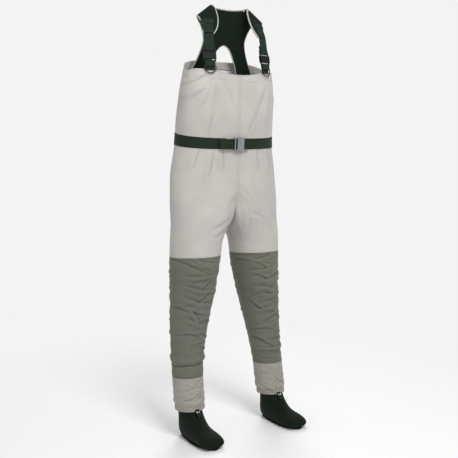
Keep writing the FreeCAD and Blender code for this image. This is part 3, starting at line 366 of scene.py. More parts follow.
def cloth(base, normals, torso_id, bridge_id, legs, steps):
    """Wrinkles the shell: it is cut slightly larger than the body under it, and settles on that body."""
    first, second, kind = [], [], []

    def link(a, b, sort):
        first.append(np.ravel(a))
        second.append(np.ravel(b))
        kind.append(np.full(np.size(a), sort))

    rings = [torso_id] + [ids[1:] for ids in legs.values()]
    for ids in rings:
        link(ids, np.roll(ids, -1, 1), 0)
        link(ids, np.roll(ids, -2, 1), 3)
    for ids in [torso_id] + list(legs.values()):
        link(ids[:-1], ids[1:], 1)
        link(ids[:-2], ids[2:], 4)
        link(ids[:-1], np.roll(ids, -1, 1)[1:], 2)
        link(np.roll(ids, -1, 1)[:-1], ids[1:], 2)
    across = np.concatenate([torso_id[-1, HALF:HALF + 1], bridge_id, torso_id[-1, :1]])
    link(across[:-1], across[1:], 0)
    first, second, kind = (np.concatenate(v) for v in (first, second, kind))
    z = base[:, 2]
    middle = (z[first] + z[second]) / 2
    lengthwise = grow(middle, [(0.107, 1.020), (0.150, 1.018), (0.200, 1.012), (0.240, 1.006), (0.270, 1.016),
                               (0.330, 1.014), (0.530, 1.020), (0.610, 1.018), (0.660, 1.008), (0.830, 1.012),
                               (0.920, 1.008), (1.088, 1.0), (1.170, 1.006), (1.360, 1.006)])
    crosswise = grow(middle, [(0.107, 1.03), (0.130, 1.03), (0.220, 1.008), (0.530, 1.015), (0.660, 1.006),
                              (0.870, 1.010), (1.020, 1.016), (1.088, 1.0), (1.140, 1.014), (1.270, 1.010),
                              (1.360, 1.004)])
    rest = np.linalg.norm(base[first] - base[second], axis=1)
    diagonal = (lengthwise + crosswise) / 2
    rest *= np.select([np.isin(kind, (0, 3)), np.isin(kind, (1, 4))], [crosswise, lengthwise], diagonal)
    strength = np.select([kind == 0, kind == 1, kind == 2], [1.0, 1.0, 0.45], 0.30)

    start = np.zeros(len(base))
    for a, b, width, height, facing, bend in FOLDS:
        start += ridge(base, a, b, width, height, facing, normals, bend)
    start = FOLD_LIMIT * np.tanh(start / FOLD_LIMIT)
    knee = grow(z, [(0.270, 0.25), (0.390, 0.5), (0.530, 1.0), (0.630, 0.6), (0.670, 0.0)])
    start += 0.0014 * knee * waves(base, 9, 0.075, 0.038, (0.8, 0.8, 1.5))
    low_leg = grow(z, [(0.230, 0.0), (0.250, 0.8), (0.330, 0.6), (0.410, 0.0)])
    start += 0.0009 * low_leg * waves(base, 7, 0.055, 0.030, (0.5, 0.5, 2.0))
    guard = grow(z, [(0.107, 0.6), (0.130, 1.0), (0.190, 1.0), (0.227, 0.0)])
    start += 0.0007 * guard * waves(base, 9, 0.050, 0.022, (0.8, 0.8, 1.5))
    body = grow(z, [(0.660, 0.0), (0.710, 1.0), (1.360, 1.0)])
    start += 0.0010 * body * waves(base, 8, 0.20, 0.07, (1.0, 1.0, 0.6))
    above = z - slope(BELT) * base[:, 1] - BELT
    belt = np.exp(-(above / 0.045) ** 2)
    angle = np.arctan2(base[:, 0], 0.04 - base[:, 1])
    start += 0.0016 * belt * np.sin(angle * 31 + 1.3 * np.sin(angle * 5)) * np.sin(angle * 3 + 1.0) ** 2

    on_belt = np.clip(1.3 - np.abs(above) / 0.024, 0, 1)
    outward = grow(z, [(0.107, 0.002), (0.120, 0.005), (0.210, 0.006), (0.227, 0.0015), (0.245, 0.003),
                       (0.260, 0.007), (0.530, 0.008), (0.650, 0.005), (0.670, 0.0035), (0.770, 0.006),
                       (1.360, 0.005)])
    outward = outward * (1 - on_belt) + 0.0002 * on_belt
    inward = grow(z, [(0.107, 0.004), (0.210, 0.006), (0.227, 0.0015), (0.245, 0.003), (0.260, 0.007),
                      (0.530, 0.010), (0.650, 0.005), (0.670, 0.0035), (0.770, 0.006), (1.360, 0.005)])
    inward = inward * (1 - on_belt) + 0.004 * on_belt
    rim = z - slope(RIM) * base[:, 1] - RIM > -0.03
    outward[rim] = inward[rim] = 0.0025

    count = len(base)
    weight = np.bincount(first, strength, count) + np.bincount(second, strength, count)
    moved = base + normals * start[:, None]
    for _ in range(steps):
        gap = moved[second] - moved[first]
        length = np.linalg.norm(gap, axis=1)
        push = (strength * (length - rest) / np.maximum(length, 1e-9) * 0.5)[:, None] * gap
        for axis in range(3):
            change = np.bincount(first, push[:, axis], count) - np.bincount(second, push[:, axis], count)
            moved[:, axis] += OVERSHOOT * change / weight
        shift = moved - base
        out = np.einsum("ij,ij->i", shift, normals)
        along = (shift - out[:, None] * normals) * 0.985
        out = np.clip(out, -inward, outward) * 0.998
        moved = base + along + out[:, None] * normals
    near = np.clip(1 - np.abs(z - 0.848) / 0.060, 0, 1) * np.clip(1.5 - np.abs(base[:, 0]) / 0.045, 0, 1)
    direct = kind <= 1
    one, two = first[direct], second[direct]
    neighbours = np.bincount(one, minlength=count) + np.bincount(two, minlength=count)
    for _ in range(14):
        for axis in range(3):
            total = np.bincount(one, moved[two, axis], count) + np.bincount(two, moved[one, axis], count)
            moved[:, axis] += 0.5 * near * (total / neighbours - moved[:, axis])
    ends = np.concatenate([ids[-1] for ids in legs.values()] + [torso_id[0]])
    moved[ends, 2] = base[ends, 2]
    return moved


# ---------------------------------------------------------------- meshes

def new_object(name, vertices, faces, uvs=None):
    """A mesh object; uvs holds one pair for each face corner, in metres."""
    mesh = bpy.data.meshes.new(name)
    mesh.from_pydata([tuple(v) for v in np.asarray(vertices).tolist()], [], [tuple(f) for f in faces])
    if uvs is not None:
        layer = mesh.uv_layers.new(name="cloth")
        layer.data.foreach_set("uv", np.asarray(uvs, np.float32).ravel())
    mesh.validate()
    mesh.update()
    made = bpy.data.objects.new(name, mesh)
    bpy.context.scene.collection.objects.link(made)
    mesh.polygons.foreach_set("use_smooth", [True] * len(mesh.polygons))
    return made


def applied(made, **modifiers):
    """Puts modifiers on in order and applies them all; each is TYPE=dict(settings)."""
    for kind, settings in modifiers.items():
        modifier = made.modifiers.new(kind, kind.rstrip("2"))
        for key, value in settings.items():
            setattr(modifier, key, value)
    bpy.context.view_layer.update()
    graph = bpy.context.evaluated_depsgraph_get()
    mesh = bpy.data.meshes.new_from_object(made.evaluated_get(graph))
    old = made.data
    made.modifiers.clear()
    made.data = mesh
    bpy.data.meshes.remove(old)
    return made


def edited(made, weld=None, caps=()):
    """Joins a mesh's near points, or closes it through the caps' vertices and turns its faces outward."""
    bm = bmesh.new()
    bm.from_mesh(made.data)
    if weld:
        bmesh.ops.remove_doubles(bm, verts=bm.verts, dist=weld)
    else:
        bm.verts.ensure_lookup_table()
        for cap in caps:
            bm.faces.new([bm.verts[i] for i in cap])
        bmesh.ops.recalc_face_normals(bm, faces=bm.faces)
    bm.to_mesh(made.data)
    bm.free()
    return made


def lengths(path):
    """Distance along a path at each of its points."""
    return np.concatenate([[0], np.cumsum(np.linalg.norm(np.diff(path, axis=0), axis=1))])


def turns(count):
    """Angles of a full turn in even steps."""
    return np.linspace(0, 2 * math.pi, count + 1)[:-1]


def grid_faces(ids, closed, flip=False):
    """Quads between the rows and columns of an index grid."""
    rows, columns = ids.shape
    k = np.arange(columns if closed else columns - 1)
    n = (k + 1) % columns
    quads = [
        (int(ids[r + 1, a]), int(ids[r + 1, b]), int(ids[r, b]), int(ids[r, a]))
        for r in range(rows - 1) for a, b in zip(k, n)
    ]
    return [quad[::-1] for quad in quads] if flip else quads


def grid_uvs(u, v, flip):
    """UV pairs of a grid's quads, corner by corner, from the values along its columns and its rows."""
    out = []
    for r in range(len(v) - 1):
        for k in range(len(u) - 1):
            corners = [(u[k], v[r + 1]), (u[k + 1], v[r + 1]), (u[k + 1], v[r]), (u[k], v[r])]
            out += corners[::-1] if flip else corners
    return out


def grid_object(name, points, closed=False, flip=False):
    """A grid of points as a surface, with lengths along its rows and columns as UVs."""
    points = np.asarray(points, float)
    rows, columns = points.shape[:2]
    faces = grid_faces(np.arange(rows * columns).reshape(rows, columns), closed, flip)
    ring = np.concatenate([points, points[:, :1]], 1) if closed else points
    u = np.concatenate([[0], np.cumsum(np.linalg.norm(np.diff(ring, axis=1), axis=2).mean(0))])
    v = np.concatenate([[0], np.cumsum(np.linalg.norm(np.diff(points, axis=0), axis=2).mean(1))])
    return new_object(name, points.reshape(-1, 3), faces, grid_uvs(u, v, flip))


def tube(name, path, radius, closed=False, sides=12):
    """A smooth round tube along a path of points."""
    path = np.asarray(path, float)
    if closed:
        ahead, behind = np.roll(path, -1, 0), np.roll(path, 1, 0)
    else:
        ahead, behind = np.vstack([path[1:], path[-1:]]), np.vstack([path[:1], path[:-1]])
    tangent = ahead - behind
    tangent /= np.linalg.norm(tangent, axis=1)[:, None]
    side = np.cross(tangent[0], (0.13, 0.31, 0.94))
    rings = []
    for point, t in zip(path, tangent):
        side = side - t * side.dot(t)
        side /= np.linalg.norm(side)
        other = np.cross(t, side)
        a = np.arange(sides) * 2 * math.pi / sides
        rings.append(point + radius * (np.cos(a)[:, None] * side + np.sin(a)[:, None] * other))
    rings = np.array(rings)
    ids = np.arange(len(rings) * sides).reshape(len(rings), sides)
    if closed:
        ids = np.vstack([ids, ids[:1]])
    faces = grid_faces(ids, True, True)
    if not closed:
        faces.append(tuple(int(i) for i in ids[0]))
        faces.append(tuple(int(i) for i in ids[-1][::-1]))
    return edited(new_object(name, rings.reshape(-1, 3), faces))


def even(path, step, closed=False):
    """The same path with points an even step apart."""
    path = np.asarray(path, float)
    if closed:
        path = np.vstack([path, path[:1]])
    length = lengths(path)
    count = max(int(round(length[-1] / step)), 2)
    where = np.linspace(0, length[-1], count + 1)
    out = np.stack([np.interp(where, length, path[:, i]) for i in range(3)], 1)
    return out[:-1] if closed else out


# share of the way along a stitch, its size there, and how far it stands off the cloth
STITCH = ((0.0, 0.35, -0.2), (0.2, 1.0, 0.7), (0.8, 1.0, 0.7), (1.0, 0.35, -0.2))


PITCH, THREAD, LIFT = 0.0032, 0.00035, 0.0002   # of stitches: spacing, half width, height off the cloth


def sewn(name, path, outward, thread="thread", closed=False):
    """A row of stitches along a path that lies on the garment; outward gives the cloth's normals."""
    path, outward = np.asarray(path), np.asarray(outward)
    if closed:
        path, outward = np.vstack([path, path[:1]]), np.vstack([outward, outward[:1]])
    length = lengths(path)
    vertices, faces = [], []
    for i in range(int(length[-1] / PITCH)):
        ends = []
        for s in (i * PITCH, i * PITCH + 0.72 * PITCH):
            ends.append([np.array([np.interp(s, length, data[:, k]) for k in range(3)])
                         for data in (path, outward)])
        (a, na), (b, nb) = ends
        along = b - a
        along /= np.linalg.norm(along)
        normal = (na + nb) / np.linalg.norm(na + nb)
        side = np.cross(along, normal)
        start = len(vertices)
        for t, size, up in STITCH:
            centre = a * (1 - t) + b * t + normal * (LIFT + up * THREAD)
            for c, n in ((-1, 0), (0, 1), (1, 0), (0, -1)):
                vertices.append(centre + side * c * size * THREAD + normal * n * size * THREAD)
        for ring in range(3):
            for k in range(4):
                p, q = start + ring * 4 + k, start + ring * 4 + (k + 1) % 4
                faces.append((p, q, q + 4, p + 4))
        faces.append((start + 3, start + 2, start + 1, start))
        faces.append((start + 12, start + 13, start + 14, start + 15))
    return placed(material(new_object(name, vertices, faces), thread), ROOT)


def finer(grid, closed):
    """The grid with a row and a column put between every two, by a four-point curve through the points."""
    def between(g, wrap):
        if wrap:
            before, after, last = np.roll(g, 1, 0), np.roll(g, -1, 0), np.roll(g, -2, 0)
        else:
            before = np.concatenate([2 * g[:1] - g[1:2], g[:-1]])
            after = np.concatenate([g[1:], 2 * g[-1:] - g[-2:-1]])
            last = np.concatenate([g[2:], 2 * g[-1:] - g[-2:-1], 3 * g[-1:] - 2 * g[-2:-1]])
        new = (9 * (g + after) - before - last) / 16
        out = np.empty((2 * len(g),) + g.shape[1:])
        out[0::2], out[1::2] = g, new
        return out if wrap else out[:-1]
    grid = between(grid, False)
    return np.swapaxes(between(np.swapaxes(grid, 0, 1), closed), 0, 1)


def grid_normals(grid, closed, flip=False):
    """Normals of a grid of points; rows run down and columns run to the wearer's left over the front."""
    if closed:
        across = np.roll(grid, -1, 1) - np.roll(grid, 1, 1)
    else:
        across = np.gradient(grid, axis=1)
    down = np.gradient(grid, axis=0)
    normal = np.cross(across, -down) * (-1 if flip else 1)
    return normal / np.maximum(np.linalg.norm(normal, axis=2), 1e-12)[:, :, None]


def joined(name, parts):
    """One object from several grids that share edges; parts hold points, flip and the corner of their UVs."""
    vertices, faces, uvs, start = [], [], [], 0
    for points, flip, (u0, v0), (du, dv) in parts:
        rows, columns = points.shape[:2]
        ids = start + np.arange(rows * columns).reshape(rows, columns)
        faces += grid_faces(ids, False, flip)
        uvs += grid_uvs(u0 + np.arange(columns) * du, v0 + np.arange(rows) * dv, flip)
        vertices.append(points.reshape(-1, 3))
        start += rows * columns
    return edited(new_object(name, np.concatenate(vertices), faces, np.array(uvs)), weld=1e-4)


def thick(made, depth, inner=1, offset=-1.0):
    """Gives a cloth surface its thickness; its inner face takes the second material."""
    return applied(made, SOLIDIFY=dict(thickness=depth, offset=offset, material_offset=inner,
                                       use_even_offset=False))


# ---------------------------------------------------------------- materials

KINDS = {
    # kind: weave pitch, weave depth, roughness, sheen
    "cloth": (0.0011, 0.00012, 0.80, 0.10),
    "knit": (0.0014, 0.00016, 0.85, 0.10),
    "webbing": (0.0019, 0.00030, 0.66, 0.03),
    "mesh": (0.0026, 0.00045, 0.85, 0.03),
    "foam": (0.0009, 0.00010, 0.82, 0.03),
    "film": (0.0030, 0.00004, 0.45, 0.00),
}
SLOTS = {
    # slot: linear colour, kind
    "upper_cloth": ((0.430, 0.413, 0.395), "cloth"),
    "lower_cloth": ((0.126, 0.130, 0.103), "cloth"),
    "guard_cloth": ((0.300, 0.290, 0.256), "cloth"),
    "lining": ((0.590, 0.585, 0.700), "knit"),
    "seam_tape": ((0.780, 0.780, 0.800), "film"),
    "elastic": ((0.280, 0.268, 0.238), "webbing"),
    "neoprene": ((0.0040, 0.0092, 0.0048), "foam"),
    "sole_neoprene": ((0.0040, 0.0090, 0.0048), "mesh"),
    "yoke_pad": ((0.0042, 0.0098, 0.0048), "mesh"),
    "binding": ((0.400, 0.388, 0.345), "webbing"),
    "webbing": ((0.0096, 0.0195, 0.0115), "webbing"),
    "thread": ((0.300, 0.287, 0.262), "plain"),
    "dark_thread": ((0.030, 0.045, 0.032), "plain"),
    "buckle": ((0.0065, 0.0085, 0.0068), "plastic"),
    "belt_buckle": ((0.160, 0.185, 0.190), "plastic"),
    "d_ring": ((0.0070, 0.0080, 0.0070), "enamel"),
    "hook_metal": ((0.680, 0.680, 0.660), "metal"),
}
made_materials = {}


class Nodes:
    """A short way to write a node tree: a new material's, or the world's."""

    def __init__(self, owner):
        self.owner = bpy.data.materials.new(owner) if isinstance(owner, str) else owner
        self.owner.use_nodes = True
        self.tree = self.owner.node_tree
        self.shader = self.tree.nodes.get("Principled BSDF")

    def add(self, kind, inputs=None, **settings):
        node = self.tree.nodes.new("ShaderNode" + kind)
        for key, value in settings.items():
            setattr(node, key, value)
        self.feed(node, inputs or {})
        return node

    def feed(self, node, inputs):
        for key, value in inputs.items():
            if isinstance(value, bpy.types.NodeSocket):
                self.tree.links.new(value, node.inputs[key])
            else:
                node.inputs[key].default_value = value

    def math(self, operation, a, b=0.0):
        return self.add("Math", {0: a, 1: b}, operation=operation).outputs[0]

    def noise(self, where, scale, detail=3.0, roughness=0.5):
        inputs = {"Vector": where, "Scale": scale, "Detail": detail, "Roughness": roughness}
        return self.add("TexNoise", inputs).outputs["Fac"]

    def wave(self, where, pitch, direction, distortion=0.0):
        inputs = {"Vector": where, "Scale": 0.31416 / pitch, "Distortion": distortion}
        return self.add("TexWave", inputs, bands_direction=direction).outputs["Fac"]

    def range(self, value, low, high, to_low, to_high):
        return self.add("MapRange", {0: value, 1: low, 2: high, 3: to_low, 4: to_high}).outputs[0]

    def mix(self, share, a, b):
        return self.add("Mix", {0: share, 6: a, 7: b}, data_type="RGBA").outputs[2]

    def finish(self, colour, roughness, height, distance):
        bump = self.add("Bump", {"Height": height, "Strength": 1.0, "Distance": distance})
        self.feed(self.shader, {"Base Color": colour, "Roughness": roughness, "Normal": bump.outputs[0]})
        return self.owner


def shade(colour, factor, tint=(1.0, 1.0, 1.0)):
    return tuple(min(c * factor * t, 1.0) for c, t in zip(colour, tint)) + (1.0,)


def woven(nodes, slot, colour, kind):
    """Cloth, webbing, knit, mesh and foam: threads, uneven dye, painted shade in the hollows between threads
    and in the creases of folds, high places lightened by rubbing.
    """
    pitch, depth, rough, sheen = KINDS[kind]
    spot = nodes.add("TexCoord").outputs["Object"]
    plan = nodes.add("TexCoord").outputs["UV"]
    nodes.feed(nodes.shader, {"Sheen Weight": sheen, "Sheen Roughness": 0.5,
                              "Specular IOR Level": 0.22 if kind in ("cloth", "knit", "film") else 0.12})
    if kind == "webbing":
        ribs = nodes.wave(plan, pitch, "X", 0.4)
        picks = nodes.wave(plan, pitch * 0.55, "Y", 0.6)
        threads = nodes.math("ADD", nodes.math("MULTIPLY", ribs, 0.7), nodes.math("MULTIPLY", picks, 0.4))
    elif kind in ("mesh", "foam"):
        cells = nodes.add("TexVoronoi", {"Vector": spot, "Scale": 1 / pitch}, feature="DISTANCE_TO_EDGE")
        threads = nodes.math("MINIMUM", nodes.math("MULTIPLY", cells.outputs["Distance"], 2.0), 1.0)
    else:
        warp = nodes.wave(plan, pitch, "X", 0.5)
        weft = nodes.wave(plan, pitch, "Y", 0.5)
        threads = nodes.math("ADD", nodes.math("MULTIPLY", warp, 0.5), nodes.math("MULTIPLY", weft, 0.5))
    uneven = nodes.noise(spot, 9.0, 4.0)
    slub = nodes.noise(spot, 420.0, 2.0)
    dark, light = shade(colour, 0.90, (0.99, 1.0, 0.98)), shade(colour, 1.08, (1.01, 1.0, 0.99))
    tone = nodes.mix(nodes.range(uneven, 0.3, 0.7, 0.0, 1.0), dark, light)
    if slot == "lining":
        across = nodes.add("SeparateXYZ", {0: spot}).outputs[0]
        tone = nodes.mix(nodes.range(across, 0.0455, 0.0465, 0.0, 1.0), (0.80, 0.80, 0.80, 1.0), tone)
    # Painted shade: the colour is darkened where the threads, ribs or cells dip, in step with their bump, for
    # the shade in the hollows between them.
    thread_hollow_shaded = nodes.mix(nodes.range(threads, 0.0, 1.0, 0.35, 0.0), tone, shade(colour, 0.62))
    mottled = nodes.mix(nodes.range(slub, 0.35, 0.7, 0.0, 0.22), thread_hollow_shaded, shade(colour, 1.22))
    # Painted shade: where the surface is hollow (low pointiness, the creases of folds) the colour is darkened
    # towards half its value, most on cloth; after that the high places are lightened as wear from rubbing.
    point = nodes.add("NewGeometry").outputs["Pointiness"]
    crease = nodes.range(point, 0.458, 0.499, 0.75 if kind == "cloth" else 0.25, 0.0)
    painted_crease_shaded = nodes.mix(crease, mottled, shade(colour, 0.50))
    rubbed_and_crease_shaded = nodes.mix(nodes.range(point, 0.53, 0.62, 0.0, 0.15), painted_crease_shaded, shade(colour, 1.25))
    roughness = nodes.range(nodes.noise(spot, 30.0), 0.2, 0.8, rough - 0.07, rough + 0.07)
    creases = nodes.noise(spot, 70.0, 5.0, 0.6)
    height = nodes.math("ADD", threads, nodes.math("MULTIPLY", creases, 1.3 if kind == "cloth" else 0.5))
    return nodes.finish(rubbed_and_crease_shaded, roughness, height, depth)


def hard(nodes, slot, colour, kind):
    """Moulded plastic, enamel and metal: fine grain, scuffs and bright worn patches."""
    spot = nodes.add("TexCoord").outputs["Object"]
    grain = nodes.noise(spot, 900.0 if kind == "plastic" else 300.0, 2.0)
    scuffs = nodes.noise(spot, 60.0, 6.0, 0.7)
    wear = nodes.range(nodes.noise(spot, 140.0, 4.0, 0.8), 0.62, 0.74, 0.0, 0.12)
    tone = nodes.mix(nodes.range(scuffs, 0.35, 0.7, 0.0, 1.0), shade(colour, 0.92), shade(colour, 1.12))
    bare = shade(colour, 1.2) if kind == "metal" else shade([0.35 * c + 0.10 for c in colour], 1.0)
    worn = nodes.mix(wear, tone, bare)
    rough = {"plastic": 0.46, "enamel": 0.34, "metal": 0.26}[kind]
    nodes.feed(nodes.shader, {"Specular IOR Level": 0.5 if slot == "belt_buckle" else 0.12,
                              "Metallic": float(kind == "metal"), "Coat Weight": 0.1 * (kind == "enamel")})
    roughness = nodes.range(scuffs, 0.2, 0.8, rough - 0.06, rough + 0.16)
    return nodes.finish(worn, roughness, grain, 0.00003)


def twisted(nodes, _slot, colour, _kind):
    """Sewing thread."""
    twist = nodes.noise(nodes.add("TexCoord").outputs["Object"], 2500.0, 2.0)
    tone = nodes.mix(twist, shade(colour, 0.8), shade(colour, 1.15))
    return nodes.finish(tone, nodes.range(twist, 0, 1, 0.5, 0.7), twist, 0.0001)


def material(made, *slots):
    """Gives an object the materials of these slots, in order."""
    while len(made.data.materials):
        made.data.materials.pop()
    for slot in slots:
        if slot not in made_materials:
            colour, kind = SLOTS[slot]
            build = {"plain": twisted, "plastic": hard, "enamel": hard, "metal": hard}.get(kind, woven)
            made_materials[slot] = build(Nodes(slot), slot, colour, kind)
        made.data.materials.append(made_materials[slot])
    return made


def placed(made, body, nodes=()):
    """Rides on a body and stands for CAD nodes."""
    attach(made, body)
    if nodes:
        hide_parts(*([nodes] if isinstance(nodes, str) else nodes))
    return made


def layer(made, slot, depth, node, offset=-1.0):
    """One layer of cloth or webbing that rides with the garment."""
    thick(material(made, slot), depth, inner=0, offset=offset)
    return placed(made, ROOT, node)


def piped(name, path, radius, slot, body=ROOT, nodes=(), **settings):
    """A tube with its finish, riding on a body."""
    return placed(material(tube(name, path, radius, **settings), slot), body, nodes)


# ---------------------------------------------------------------- the garment

base, torso_id, bridge_id, legs = base_garment()
quads = grid_faces(torso_id, True) + grid_faces(legs["right"], True, True) + grid_faces(legs["left"], True)
normals = normals_of(base, np.array(quads))
shell = cloth(base, normals, torso_id, bridge_id, legs, 260)
torso_grid = finer(shell[torso_id], True)
leg_grid = {word: finer(shell[ids], True) for word, ids in legs.items()}

DEEPEST = 0.0028                     # most that the drawn folds add to the settled cloth


def pressed(grid, out, share):
    """The drawn folds, added again along the normals of a fine grid."""
    points, normals = grid.reshape(-1, 3), out.reshape(-1, 3)
    depth = np.zeros(len(points))
    for start, end, width, height, facing, bend in FOLDS:
        near = np.abs(points[:, 2] - (start[1] + end[1]) / 2) < abs(start[1] - end[1]) / 2 + 0.07
        depth[near] += ridge(points[near], start, end, width * 0.8, height * share, facing, normals[near],
                             bend)
    depth = DEEPEST * np.tanh(depth / DEEPEST)
    from_belt = np.abs(points[:, 2] - slope(BELT) * points[:, 1] - BELT)
    depth *= np.clip((from_belt - 0.022) / 0.010, 0, 1) * np.where(points[:, 2] > SEAM, 0.45, 1.0)
    return grid + (depth[:, None] * normals).reshape(grid.shape)


torso_grid = pressed(torso_grid, grid_normals(torso_grid, True), 0.75)
for word, grid in leg_grid.items():
    out = grid_normals(grid, True, word == "right")
    leg_grid[word] = grid = pressed(grid, out, 0.75)
    z = grid[:, :, 2]
    around = np.linspace(0, 2 * math.pi, grid.shape[1], endpoint=False)[None, :]
    front = np.clip(0.4 - out[:, :, 1], 0, 1)
    gather = np.clip((0.128 - z) / 0.012, 0, 1)
    # gathers at the elastic, the groove over it and the puff of cloth above
    phase = 44 * around + 2.0 * np.sin(3 * around + 60 * z) + 1.2 * np.sin(7 * around)
    push = 0.0011 * gather * np.sin(phase)
    push -= 0.0016 * np.exp(-((z - 0.1225) / 0.0022) ** 2)
    push += 0.0026 * np.exp(-((z - 0.137) / 0.008) ** 2) * (1 + 0.4 * np.sin(5 * around))
    # the roll of cloth at the taped band and the groove under it
    roll = (0.0055, 0.0035) if word == "right" else (0.0020, 0.0018)
    wobble = 0.003 * np.sin(2 * around + 1.0) + 0.0015 * np.sin(5 * around)
    push += roll[0] * np.exp(-((z - 0.290 - wobble) / 0.011) ** 2) * (0.55 + 0.45 * front)
    push -= roll[1] * np.exp(-((z - 0.2735 - wobble) / 0.0038) ** 2) * (0.6 + 0.4 * front)
    grid += push[:, :, None] * out * np.clip(z - 0.108, 0, 0.004)[:, :, None] / 0.004
N = 2 * HALF                         # fine columns round half the torso
for word, shared in (("left", np.arange(N + 1)), ("right", (2 * N - np.arange(N + 1)) % (2 * N))):
    leg_grid[word][0, :N + 1] = torso_grid[-1, shared]
    leg_grid[word][1, :N + 1] = (leg_grid[word][0, :N + 1] + leg_grid[word][2, :N + 1]) / 2
torso_grid[-2] = (torso_grid[-1] + torso_grid[-3]) / 2
fork_row, seam_row = 2 * ROWS[0], 2 * ROWS[1]
cuff_row = seam_row + 2 * ROWS[2]
hem_row = cuff_row + 2 * ROWS[3]
CLOTH = 0.0009                       # thickness
STEP = 0.003                         # size of a cell of the fine grids


def columns(grid, start, stop):
    """Columns start to stop of a closed grid, wrapping round."""
    return grid[:, np.arange(start, stop + 1) % grid.shape[1]]


def panel(name, torso_span, leg_word, leg_spans):
    """A front or back panel: its piece of the torso and its piece of the thigh."""
    parts = [(columns(torso_grid, *torso_span), False, (torso_span[0] * STEP, 0.0), (STEP, STEP))]
    grid = leg_grid[leg_word][:seam_row + 1]
    for span in leg_spans:
        flip = leg_word == "right"
        parts.append((columns(grid, *span), flip, (span[0] * STEP, fork_row * STEP), (STEP, STEP)))
    made = joined(name, parts)
    material(made, "upper_cloth", "lining")
    return thick(made, CLOTH)


size = 2 * (HALF + BRIDGE)
quarter = N // 2
spans = {
    "left_front_panel": ((0, quarter), "left", [(0, quarter), (size - BRIDGE, size)]),
    "left_back_panel": ((quarter, N), "left", [(quarter, N + BRIDGE)]),
    "right_back_panel": ((N, N + quarter), "right", [(quarter, N + BRIDGE)]),
    "right_front_panel": ((N + quarter, 2 * N), "right", [(0, quarter), (size - BRIDGE, size)]),
}
for name, (torso_span, word, leg_spans) in spans.items():
    made = panel(name + "_cloth", torso_span, word, leg_spans)
    placed(made, ROOT, name)
for side, word in SIDES:
    for label, start, stop, slot, depth, flat in (
        ("lower_leg_panel", seam_row, cuff_row, "lower_cloth", 0.0011, (0.52, 0.46)),
        ("gravel_guard", cuff_row, hem_row, "guard_cloth", 0.0009, (0.37, 0.135)),
    ):
        grid = leg_grid[word][start:stop + 1]
        made = grid_object(f"{word}_{label}_cloth", grid, closed=True, flip=word == "right")
        material(made, slot, "lining" if slot == "lower_cloth" else slot)
        thick(made, depth)
        placed(made, ROOT, f"{word}_{label}")


# ---------------------------------------------------------------- seams, hems and linings

torso_out = grid_normals(torso_grid, True)
leg_out = {word: grid_normals(grid, True, word == "right") for word, grid in leg_grid.items()}


def seam(name, path, outward, slot, closed=False, width=0.0008):
    """A sewn seam: a low ridge of cloth."""
    return piped(name, path - outward * 0.35 * width, width, slot, closed=closed, sides=8)


def on_leg(rows, column=slice(None)):
    """A row or a column of the leg that is being sewn, with its normals."""
    return leg_grid[word][rows, column], leg_out[word][rows, column]


HEM_ROW = 9
for label, column in (("front", 0), ("back", N)):
    seam(f"{label}_centre_seam", torso_grid[:, column], torso_out[:, column], "upper_cloth")
    for gap, letter in ((-2, "a"), (2, "b")):
        at = (column + gap) % (2 * N)
        sewn(f"{label}_centre_stitch_{letter}", torso_grid[:, at], torso_out[:, at])
BAND_TOP, LOWER_CELL = 0.272, 0.003014   # height of the taped band's edge, and of a row of the lower legs
band_row = int(round(seam_row + (SEAM - BAND_TOP) / LOWER_CELL))
for word, side_column in (("right", N + quarter), ("left", quarter)):
    thigh, thigh_out = on_leg(slice(1, seam_row + 1), quarter)
    seam(f"{word}_side_seam", np.concatenate([torso_grid[:, side_column], thigh]),
         np.concatenate([torso_out[:, side_column], thigh_out]), "upper_cloth")
    inner = N + BRIDGE
    seam(f"{word}_inner_seam", *on_leg(slice(seam_row + 1), inner), "upper_cloth")
    seam(f"{word}_lower_inner_seam", *on_leg(slice(seam_row, cuff_row + 1), inner), "lower_cloth")
    seam(f"{word}_knee_seam", *on_leg(seam_row), "lower_cloth", True)
    seam(f"{word}_cuff_seam", *on_leg(cuff_row), "lower_cloth", True)
    sewn(f"{word}_knee_stitch", *on_leg(seam_row + 2), "dark_thread", True)
    sewn(f"{word}_cuff_stitch", *on_leg(cuff_row - 2), "dark_thread", True)
    sewn(f"{word}_band_stitch", *on_leg(band_row), "dark_thread", True)
    sewn(f"{word}_guard_stitch", *on_leg(hem_row - 5), "thread", True)
    hem, hem_out = on_leg(hem_row)
    piped(f"{word}_guard_fold", hem - 0.0006 * hem_out, 0.0012, "guard_cloth", closed=True, sides=10)

piped("rim_fold", torso_grid[0] - 0.0007 * torso_out[0], 0.0011, "upper_cloth", closed=True, sides=10)
sewn("rim_stitch", torso_grid[HEM_ROW], torso_out[HEM_ROW], closed=True)
sewn("rim_edge_stitch", torso_grid[1], torso_out[1], closed=True)

inside = torso_grid - torso_out * (CLOTH + 0.0004)
for label, start, stop in (("front", -quarter, quarter), ("back", quarter, N + quarter)):
    made = grid_object(f"{label}_hem_facing_cloth", columns(inside, start, stop)[:HEM_ROW + 1])
    layer(made, "upper_cloth", 0.0008, f"{label}_hem_facing")
    middle = 0 if label == "front" else N
    strip = columns(inside, middle - 4, middle + 4)[HEM_ROW + 2:fork_row - 8]
    made = layer(grid_object(f"{label}_seam_tape_film", strip), "seam_tape", 0.0004, f"{label}_seam_tape")

# ---------------------------------------------------------------- webbing and buckles


PRONG_ROOT = 0.0248                  # from the socket's bar to the prongs' hinges


class Frame:
    """A local frame that webbing and wire are laid out in."""

    def __init__(self, origin, x, y, z):
        self.origin, self.x, self.y, self.z = (np.array(v, float) for v in (origin, x, y, z))

    def at(self, x, y, z):
        return self.origin + self.x * x + self.y * y + self.z * z


